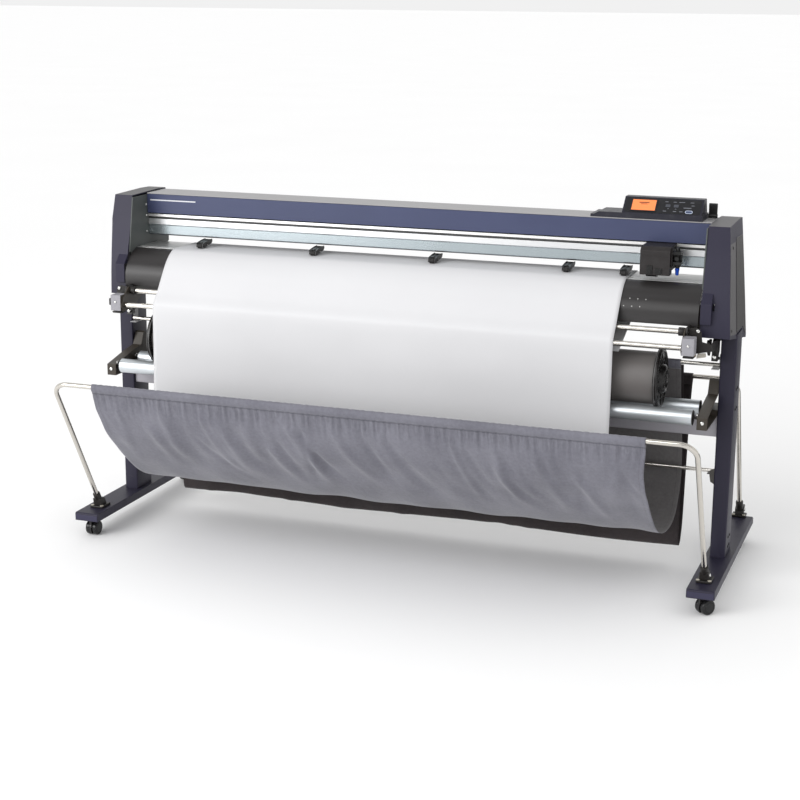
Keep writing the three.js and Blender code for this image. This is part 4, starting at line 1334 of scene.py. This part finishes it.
rim_profile = [
    (flange_radius - 0.0012, half + 0.0030), (flange_radius + 0.0003, half + 0.0034),
    (flange_radius + 0.0003, half + 0.0062), (flange_radius - 0.0012, half + 0.0066),
    (flange_radius - 0.0012, half + 0.0030),
]
spoke = block((face_x - 0.0062, 0.0460, -0.0016), (face_x - 0.0022, flange_radius - 0.0120, 0.0016))
spoke_count = 8
spokes, rims = [], []
for way in (-1.0, 1.0):
    end_side = np.diag((way, 1.0, 1.0))
    for k in range(spoke_count):
        a = 2.0 * math.pi * k / spoke_count
        spin = np.array([[1, 0, 0], [0, math.cos(a), -math.sin(a)], [0, math.sin(a), math.cos(a)]], float)
        spokes.append(placed(placed(spoke, spin), end_side, (0.0, roll_y, roll_z)))
    rims.append(placed(turned(rim_profile, count=80), end_side, (0.0, roll_y, roll_z)))
piece("flange_ribs", joined(*spokes), flange_black, "loaded_roll", ease=0.0005)
piece("flange_rims", joined(*rims), rim_steel, "loaded_roll", crease=35.0)


# ------------------------------------------------------------------ basket bars and their foot clamps
# Each basket hangs on a bright tube, bent from one length with a wide bend at each top corner. Its ends
# stand in short sockets on black plastic clamps, which are screwed to the feet.
basket_chrome = bright_steel("basket_bar_chrome", (0.64, 0.61, 0.56), 0.17)
basket_bar_radius = 0.008
bar_half, bar_bend = 1.060, 0.052
front_bar, rear_bar = (-0.493, 0.593), (0.262, 0.622)
clamp_cream = glossy_plastic("clamp_washer_cream", (0.46, 0.43, 0.36), 0.4)


def swept(path, across, radius, count=28):
    """A tube along a path that lies in a plane, whose normal is across. Both ends are closed."""
    path = np.asarray(path, float)
    step = np.gradient(path, axis=0)
    step /= np.linalg.norm(step, axis=1)[:, None]
    beside = np.cross(step, across)
    angle = np.linspace(0.0, 2.0 * math.pi, count, endpoint=False)
    around = np.cos(angle)[:, None, None] * across + np.sin(angle)[:, None, None] * beside
    rings = path + radius * around
    points = rings.transpose(1, 0, 2).reshape(-1, 3)
    i, j = np.meshgrid(np.arange(len(path) - 1), np.arange(count), indexing="ij")
    here, beside_it = i * count + j, i * count + (j + 1) % count
    quads = np.stack((here, here + count, beside_it + count, beside_it), axis=-1).reshape(-1, 4)
    last = (len(path) - 1) * count
    ends = [list(range(count)), list(range(last, last + count))[::-1]]
    return read_back(welded(points, quads.tolist() + ends))


def bent_bar(top, foot):
    """The path of a bar: up from one foot, round a bend, across, round a bend, and down again."""
    top, foot = np.array(top), np.array(foot)
    rise = (top - foot) / np.linalg.norm(top - foot)
    corner = top - rise * bar_bend
    left = [(-bar_half, *foot), (-bar_half, *(foot + rise * 0.002))]
    left += [(-bar_half, *point) for point in np.linspace(foot + rise * 0.05, corner - rise * 0.01, 8)]
    for a in np.linspace(0.0, 0.5 * math.pi, 14):
        place = corner + rise * bar_bend * math.sin(a)
        left.append((-bar_half + bar_bend * (1.0 - math.cos(a)), *place))
    straight = bar_half - bar_bend - 0.02
    across = [(x, *top) for x in np.linspace(-straight, straight, 24)]
    right = [(-x, y, z) for x, y, z in left[::-1]]
    return np.array(left + across + right), np.array((0.0, -rise[1], rise[0]))


socket_profile = [
    (0.0084, 0.020), (0.0120, 0.020), (0.0125, 0.0210), (0.0125, 0.0500), (0.0115, 0.0520),
    (0.0084, 0.0520), (0.0084, 0.020),
]
washer_profile = [(0.0, 0.0), (0.0062, 0.0), (0.0062, 0.0016), (0.0, 0.0016)]
foot_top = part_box("foot_beam_right")[1].z

for node, top, foot, lean, behind in (
    ("front_basket_bar", front_bar, (-0.2165, 0.098), 1.0, 0.030),
    ("rear_basket_bar", rear_bar, (0.487, 0.098), -1.0, 0.012),
):
    path, across = bent_bar(top, foot)
    tube = swept(path, across, basket_bar_radius)
    piece(node + "_tube", tube, basket_chrome, "machine", node, crease=40.0)
    y, z = foot
    shift = lean * 0.010
    boss_outline = [
        (y - 0.020, foot_top + 0.0075), (y + 0.66 * behind, foot_top + 0.0075),
        (y + 0.015 - shift, foot_top + 0.034), (y - 0.015 - shift, foot_top + 0.034),
    ]
    clamp = joined(
        block(
            (bar_half - 0.024, y - 0.030, foot_top + 0.0002),
            (bar_half + 0.024, y + behind, foot_top + 0.0080),
        ),
        prism(boss_outline, bar_half - 0.0150, bar_half + 0.0150),
    )
    rise = np.subtract(top, foot)
    socket = placed(turned(socket_profile, axis="Z", count=32), facing((0.0, *rise)), (bar_half, y, z))
    washer = turned(washer_profile, axis="Z", count=24)
    washers = joined(*(
        placed(washer, None, (bar_half + aside, y - 0.022, foot_top + 0.0078)) for aside in (-0.018, 0.018)
    ))
    knob = placed(
        screw_head(0.0058, 0.0040, 24), facing((1.0, 0.0, 0.0)),
        (bar_half + 0.0148, y - lean * 0.006, foot_top + 0.021),
    )
    for side_name, side in SIDES:
        piece(
            f"{node}_clamp_{side_name}", on_side(clamp, side), dark_clamp, "machine",
            ease=0.0022,
        )
        piece(
            f"{node}_socket_{side_name}", on_side(socket, side), dark_clamp, "machine",
            crease=40.0,
        )
        piece(
            f"{node}_washers_{side_name}", on_side(washers, side), clamp_cream, "machine",
            crease=40.0,
        )
        piece(
            f"{node}_knob_{side_name}", on_side(knob, side), bright_screw, "machine", crease=45.0,
        )


# ------------------------------------------------------------------ front basket
# Grey woven polyester, one cut rectangle. Its top is sewn into a sleeve, gathered on the front bar. It
# hangs in a deep curve, passes behind the middle bar and ends in a second sleeve on the hanging bar.
weave_pitch, stitch_pitch = 0.0009, 0.0032
cloth_wide, side_hem = 1.824, 0.016


def woven(name, light, dark, sheen, sleeve):
    """Plain weave from the UVs, which are in metres, with slubs, slow fading and a stitched side hem.
    Each thread is a sine wave across its run. sleeve is how far down the cloth its sleeve is sewn."""
    coat = Finish(name, Specular_IOR_Level=0.25, Sheen_Weight=sheen, Sheen_Roughness=0.45)
    point = coat.node("ShaderNodeUVMap", {"uv_map": "cut"})
    across = coat.along(point, 0)
    down = coat.along(point, 1)
    turn = 2.0 * math.pi / weave_pitch
    threads = (across * turn).sine() * (down * turn).sine() * 0.5 + 0.5
    slubs = coat.noise(coat.scaled(point, (900.0, 60.0, 1.0)), 1.0, 3.0, 0.6)
    slubs_down = coat.noise(coat.scaled(point, (60.0, 900.0, 1.0)), 1.0, 3.0, 0.6)
    fading = coat.noise(point, 5.0, 4.0, 0.55)
    crumple = coat.noise(coat.scaled(point, (34.0, 20.0, 1.0)), 1.0, 4.0, 0.55)
    mottle = coat.noise(point, 90.0, 4.0, 0.6)
    share = fading * 0.45 + mottle * 0.25 + slubs * 0.18 + slubs_down * 0.12
    tone = coat.mixed(coat.ramp(share, 0.36, 0.64), dark, light)
    far_hem = cloth_wide - side_hem
    at_hem = (across < side_hem) + (across > far_hem)
    seam = (across > side_hem - 0.0014) * (across < side_hem)
    seam = seam + (across > far_hem) * (across < far_hem + 0.0014)
    stitches = ((down * (2.0 * math.pi / stitch_pitch)).sine() > 0.1) * seam
    # This dark colour serves the stitches, and the painted shade under the sleeve and in the puckers.
    stitch_and_shade_dark = tuple(c * 0.45 for c in dark)
    tone = coat.mixed(stitches * 0.7, tone, stitch_and_shade_dark)
    pucker = coat.noise(coat.scaled(point, (85.0, 12.0, 1.0)), 1.0, 3.0, 0.6)
    # Painted shade: a band just under the sleeve seam and the puckers below it are darkened as if in shadow.
    # The band also dents the relief.
    near_sleeve = (down > sleeve - 0.006) * (down < sleeve + 0.001)
    under_sleeve = coat.ramp(down, sleeve - 0.004, sleeve)
    under_sleeve = under_sleeve * (1 - coat.ramp(down, sleeve + 0.008, sleeve + 0.075))
    pucker_shade = under_sleeve * coat.ramp(pucker, 0.42, 0.60)
    tone = coat.mixed(near_sleeve * 0.45 + pucker_shade * 0.30, tone, stitch_and_shade_dark)
    height = threads * 0.12 + slubs * 0.25 + slubs_down * 0.25
    fine = coat.raised(height, 0.0006, 0.55)
    broad = coat.raised(
        crumple + at_hem * 0.05 - stitches * 0.3 + pucker * under_sleeve * 1.2 - near_sleeve * 0.4,
        0.0045, 0.40, under=fine,
    )
    return coat.paint(Base_Color=tone, Roughness=0.72 + slubs * 0.18, Normal=broad)


def soft_piece(name, grid, cut, finishes, replaces, thick):
    """A sheet from a grid of points, rows down the cloth and columns across it. cut holds each row's
    length down the flat cloth and each column's place across it, both in metres, and makes the UVs."""
    rows, columns = grid.shape[:2]
    down, across = cut
    i, j = np.meshgrid(np.arange(rows - 1), np.arange(columns - 1), indexing="ij")
    here = (i * columns + j).ravel()
    quads = np.column_stack((here, here + columns, here + columns + 1, here + 1))
    mesh = bpy.data.meshes.new(name)
    mesh.from_pydata(grid.reshape(-1, 3).tolist(), [], quads.tolist())
    mesh.update()
    layer = mesh.uv_layers.new(name="cut")
    corner = np.empty(len(mesh.loops), dtype=np.int32)
    mesh.loops.foreach_get("vertex_index", corner)
    place = np.column_stack((across[corner % columns], down[corner // columns]))
    layer.data.foreach_set("uv", place.astype(np.float32).ravel())
    mesh.polygons.foreach_set("use_smooth", np.ones(len(mesh.polygons), bool))
    for finish in finishes:
        mesh.materials.append(finish)
    made = bpy.data.objects.new(name, mesh)
    bpy.context.scene.collection.objects.link(made)
    wall = made.modifiers.new("wall", "SOLIDIFY")
    wall.thickness = thick
    wall.offset = 0.0
    wall.material_offset = len(finishes) - 1
    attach(made, "machine")
    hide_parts(replaces)
    return made


def arc(centre, radius, start, stop, count):
    """Points on a circle in the (y, z) plane, with angles in degrees from +Y towards +Z."""
    angle = np.radians(np.linspace(start, stop, count))
    return [(centre[0] + radius * math.cos(a), centre[1] + radius * math.sin(a)) for a in angle]


def length_along(line):
    return np.concatenate(([0.0], np.cumsum(np.linalg.norm(np.diff(line, axis=0), axis=1))))


def bell(value):
    return np.exp(-value ** 2)


def eased(value, low, high):
    """0 below low, 1 above high, and a smooth step between."""
    t = np.clip((value - low) / (high - low), 0.0, 1.0)
    return t * t * (3.0 - 2.0 * t)


def laid_along(line, across, lift, drop=0.0):
    """The points of a sheet: its rows follow the line, its columns stand at the places across, and
    each point is pushed off by lift along the line's left normal and lowered or raised by drop."""
    away = normals_of(line)
    grid = np.empty((*lift.shape, 3))
    grid[..., 0] = across
    grid[..., 1] = line[:, 0:1] + away[:, 0:1] * lift
    grid[..., 2] = line[:, 1:2] + away[:, 1:2] * lift + drop
    return grid


hang_bar = (0.021, 0.721)
front_sleeve = [(-0.4882, 0.5720), (-0.4858, 0.5800), (-0.4833, 0.5890)]
front_sleeve += arc(front_bar, 0.0098, 10.0, 170.0, 9)
front_sleeve += [(-0.5018, 0.5870), (-0.4975, 0.5790), (-0.4925, 0.5710)]
front_fall = [
    (-0.4860, 0.5420), (-0.4760, 0.5060), (-0.4280, 0.4310), (-0.3720, 0.3700), (-0.2900, 0.2920),
    (-0.2100, 0.2330), (-0.1250, 0.1960), (-0.0400, 0.1860), (0.0400, 0.2020), (0.0950, 0.2450),
    (0.1250, 0.3000), (0.1270, 0.3520), (0.1120, 0.4400), (0.0800, 0.5400), (0.0500, 0.6200),
    (0.0330, 0.6900),
]
rear_sleeve = arc(hang_bar, 0.0083, 10.0, 170.0, 7) + [(0.0160, 0.7080), (0.0280, 0.6960)]
sleeve_line = smoothed(front_sleeve, 26)
fall_line = smoothed([front_sleeve[-1]] + front_fall, 92)[1:]
top_line = smoothed([front_fall[-1]] + rear_sleeve, 16)[1:]
front_line = np.vstack((sleeve_line, fall_line, top_line))
front_down = length_along(front_line)
front_across = np.linspace(0.0, cloth_wide, 341)
rng = np.random.default_rng(20)
S, U = np.meshgrid(front_down, front_across, indexing="ij")
seam_at = length_along(sleeve_line)[-1]
gathers = 0.55 * np.sin(2 * math.pi * (U / 0.027 + 0.35 * np.sin(U * 9.0)))
gathers += 0.45 * np.sin(2 * math.pi * (U / 0.0173 + 0.5 * np.sin(U * 5.0 + 1.0)))
fading = 1.0 - eased(S, seam_at + 0.015, seam_at + 0.095)
lift = 0.0030 * gathers * eased(S, seam_at - 0.012, seam_at + 0.004) * fading
lift += 0.0007 * gathers * (1.0 - eased(S, seam_at - 0.030, seam_at - 0.005))
for _ in range(64):
    start = rng.uniform(-0.1, 1.86)
    lean = rng.uniform(0.02, 0.46) * (1.0 if start < 1.55 else rng.choice((-1.0, 1.0)))
    bend = rng.uniform(-0.5, 0.5)
    first = seam_at + rng.uniform(-0.01, 0.14)
    long = rng.uniform(0.16, 0.46)
    wide = rng.uniform(0.007, 0.019)
    tall = rng.uniform(0.0024, 0.0070) * rng.choice((1.0, 1.0, -1.0))
    run = S - first
    middle = start + lean * run + bend * run * run
    shape = bell((U - middle) / (wide * (1.0 + 1.4 * np.clip(run / long, 0.0, 1.0))))
    lift += tall * shape * eased(run, 0.0, 0.05) * (1.0 - eased(run, 0.55 * long, long))
lift *= 1.0 - 0.75 * eased(S, seam_at + 0.27, seam_at + 0.42)
hanging_part = eased(S, seam_at + 0.03, seam_at + 0.25)
hanging_part *= 1.0 - eased(S, front_down[-1] - 0.55, front_down[-1] - 0.40)
for _ in range(12):
    waves_across, waves_down = rng.uniform(1.5, 6.0), rng.uniform(1.5, 5.0)
    phase = rng.uniform(0.0, 2.0 * math.pi)
    slant = rng.choice((-1.0, 1.0)) / 2
    ripple = np.sin(2 * math.pi * (U * waves_across + S * waves_down * slant) + phase)
    lift += 0.0007 * ripple * hanging_part
from_middle = U - cloth_wide / 2
near_edge = eased(np.abs(from_middle), 0.86, cloth_wide / 2)
lift *= 1.0 - 0.6 * near_edge * eased(S, seam_at, seam_at + 0.05)
belly = eased(S, 0.25, 0.5) * (1.0 - eased(S, 0.6, 0.9))
lift -= 0.002 * belly * np.cos(2 * math.pi * U / cloth_wide)
edge_pull = 0.010 * eased(S, seam_at, seam_at + 0.12) * (1.0 - eased(S, 0.55, 0.80))
edge_pull *= np.sign(from_middle) * eased(np.abs(from_middle), 0.70, cloth_wide / 2)
front_grid = laid_along(front_line, from_middle - edge_pull, -lift)
outer_cloth = woven("basket_weave_outer", (0.182, 0.181, 0.212), (0.124, 0.123, 0.148), 0.25, seam_at)
inner_cloth = woven("basket_weave_inner", (0.180, 0.172, 0.172), (0.130, 0.124, 0.125), 0.15, seam_at)
front_basket = soft_piece(
    "front_basket_cloth", front_grid, (front_down, front_across), (outer_cloth, inner_cloth),
    "basket_cloth", 0.0011,
)


# ------------------------------------------------------------------ rear basket
# Dark brown cloth behind the front basket, sleeved on the rear bar. Its free edge is hemmed and held
# to the hanging bar by four short webbing loops.
back_sleeve = [(0.2560, 0.5950), (0.2530, 0.6080), (0.2522, 0.6200)]
back_sleeve += arc(rear_bar, 0.0098, 170.0, 10.0, 9)
back_sleeve += [(0.2690, 0.6120), (0.2620, 0.6000), (0.2570, 0.5880)]
back_fall = [
    (0.2360, 0.5000), (0.2140, 0.3000), (0.1960, 0.1400), (0.1720, 0.0800), (0.1500, 0.0680),
    (0.1340, 0.0840), (0.1330, 0.1300), (0.1360, 0.3000), (0.1330, 0.4200), (0.1180, 0.5200),
    (0.0960, 0.6200), (0.0780, 0.7000),
]
back_line = np.vstack((smoothed(back_sleeve, 24), smoothed([back_sleeve[-1]] + back_fall, 96)[1:]))
back_down = length_along(back_line)
back_across = np.linspace(0.0, cloth_wide, 221)
S, U = np.meshgrid(back_down, back_across, indexing="ij")
gathers = np.sin(2 * math.pi * (U / 0.031 + 0.3 * np.sin(U * 8.0)))
lift = 0.0012 * gathers * eased(S, 0.055, 0.075) * (1.0 - eased(S, 0.09, 0.16))
hanging_part = eased(S, 0.10, 0.30) * (1.0 - eased(S, back_down[-1] - 0.45, back_down[-1] - 0.35))
for _ in range(16):
    start, lean = rng.uniform(0.0, 1.82), rng.uniform(-0.2, 0.2)
    wide, tall = rng.uniform(0.02, 0.06), rng.uniform(-0.0025, 0.0025)
    lift += tall * bell((U - start - lean * (S - 0.5)) / wide) * hanging_part
drop = 0.004 * np.sin(2 * math.pi * U / 0.9) * bell((S - 0.62) / 0.10)
back_grid = laid_along(back_line, U - cloth_wide / 2, lift, drop)
back_seam = 0.060
rear_weave = woven("rear_basket_weave", (0.046, 0.037, 0.039), (0.030, 0.024, 0.026), 0.10, back_seam)
rear_inner = woven(
    "rear_basket_weave_inner", (0.050, 0.042, 0.043), (0.034, 0.028, 0.029), 0.10, back_seam,
)
rear_basket = soft_piece(
    "rear_basket_cloth", back_grid, (back_down, back_across), (rear_weave, rear_inner),
    "rear_cloth", 0.0011,
)
strap_line = [(0.0790, 0.6880), (0.0735, 0.7020), (0.0560, 0.7180), (0.0330, 0.7300)]
strap_line += arc(hang_bar, 0.0112, 60.0, 230.0, 9) + [(0.0300, 0.7060), (0.0520, 0.7020), (0.0700, 0.6900)]
strap_mid = smoothed(strap_line, 40)
strap_out = normals_of(strap_mid) * 0.0006
strap_outline = np.vstack((strap_mid + strap_out, (strap_mid - strap_out)[::-1]))
webbing = powder_coat("strap_webbing", (0.030, 0.026, 0.028), 0.75, (0.08, 0.075, 0.075))
straps = [prism(strap_outline, x - 0.012, x + 0.012) for x in (-0.780, -0.260, 0.260, 0.780)]
piece("rear_basket_straps", joined(*straps), webbing, "machine", crease=50.0)


# ------------------------------------------------------------------ loaded sheet
# White film from the roll, up the back of the machine, over the bed under the pinch rollers, down the
# curved front guide and on into the front basket. It is thin and smooth, with slight buckles.
sheet_up = np.array([
    (-117, 769), (30, 824), (160, 873), (174, 880), (180, 890), (177.5, 912), (171.5, 936), (160, 957),
    (147, 975), (136, 982), (122, 986.55), (40, 986.55),
]) * 0.001
sheet_fall = np.array([
    (-32, 986.55), (-46, 985), (-58, 980.5), (-77, 969), (-95.5, 953), (-113, 934), (-137, 902),
    (-170, 858), (-197, 828), (-203.5, 806), (-205.5, 740), (-208, 640), (-212, 500), (-216, 330),
]) * 0.001
sheet_wide, sheet_left = 1.578, -0.838
sheet_line = np.vstack((sheet_up, smoothed(sheet_fall, 110)))
sheet_down = length_along(sheet_line)
sheet_across = np.linspace(0.0, sheet_wide, 121)
S, U = np.meshgrid(sheet_down, sheet_across, indexing="ij")
lift = 0.0016 * np.sin(2 * math.pi * (U * 1.4 + S * 0.8))
lift += 0.0011 * np.sin(2 * math.pi * (U * 3.1 - S * 1.7) + 1.1)
lift += 0.0010 * np.sin(2 * math.pi * (U * 0.7 + S * 2.3) + 2.0)
lift *= eased(S, sheet_down[-1] - 0.48, sheet_down[-1] - 0.34)
sheet_grid = laid_along(sheet_line, U + sheet_left, -lift)
film_coat = Finish("loaded_film_white", Specular_IOR_Level=0.35)
film_place = film_coat.node("ShaderNodeUVMap", {"uv_map": "cut"})
film_cloud = film_coat.noise(film_coat.scaled(film_place, (2.0, 3.5, 1.0)), 1.0, 4.0, 0.5)
film_grain = film_coat.noise(film_place, 700.0, 2.0)
buckle = film_coat.noise(film_coat.scaled(film_place, (5.0, 3.0, 1.0)), 1.0, 3.0, 0.45)
white_film = film_coat.paint(
    Base_Color=film_coat.mixed(film_cloud, (0.570, 0.570, 0.584), (0.625, 0.625, 0.637)),
    Roughness=0.48 + film_grain * 0.10,
    Normal=film_coat.raised(film_grain, 0.0001, 0.3, under=film_coat.raised(buckle, 0.012, 0.25)),
)
sheet_piece = soft_piece(
    "loaded_sheet", sheet_grid, (sheet_down, sheet_across), (white_film,),
    "media_sheet", 0.0007,
)
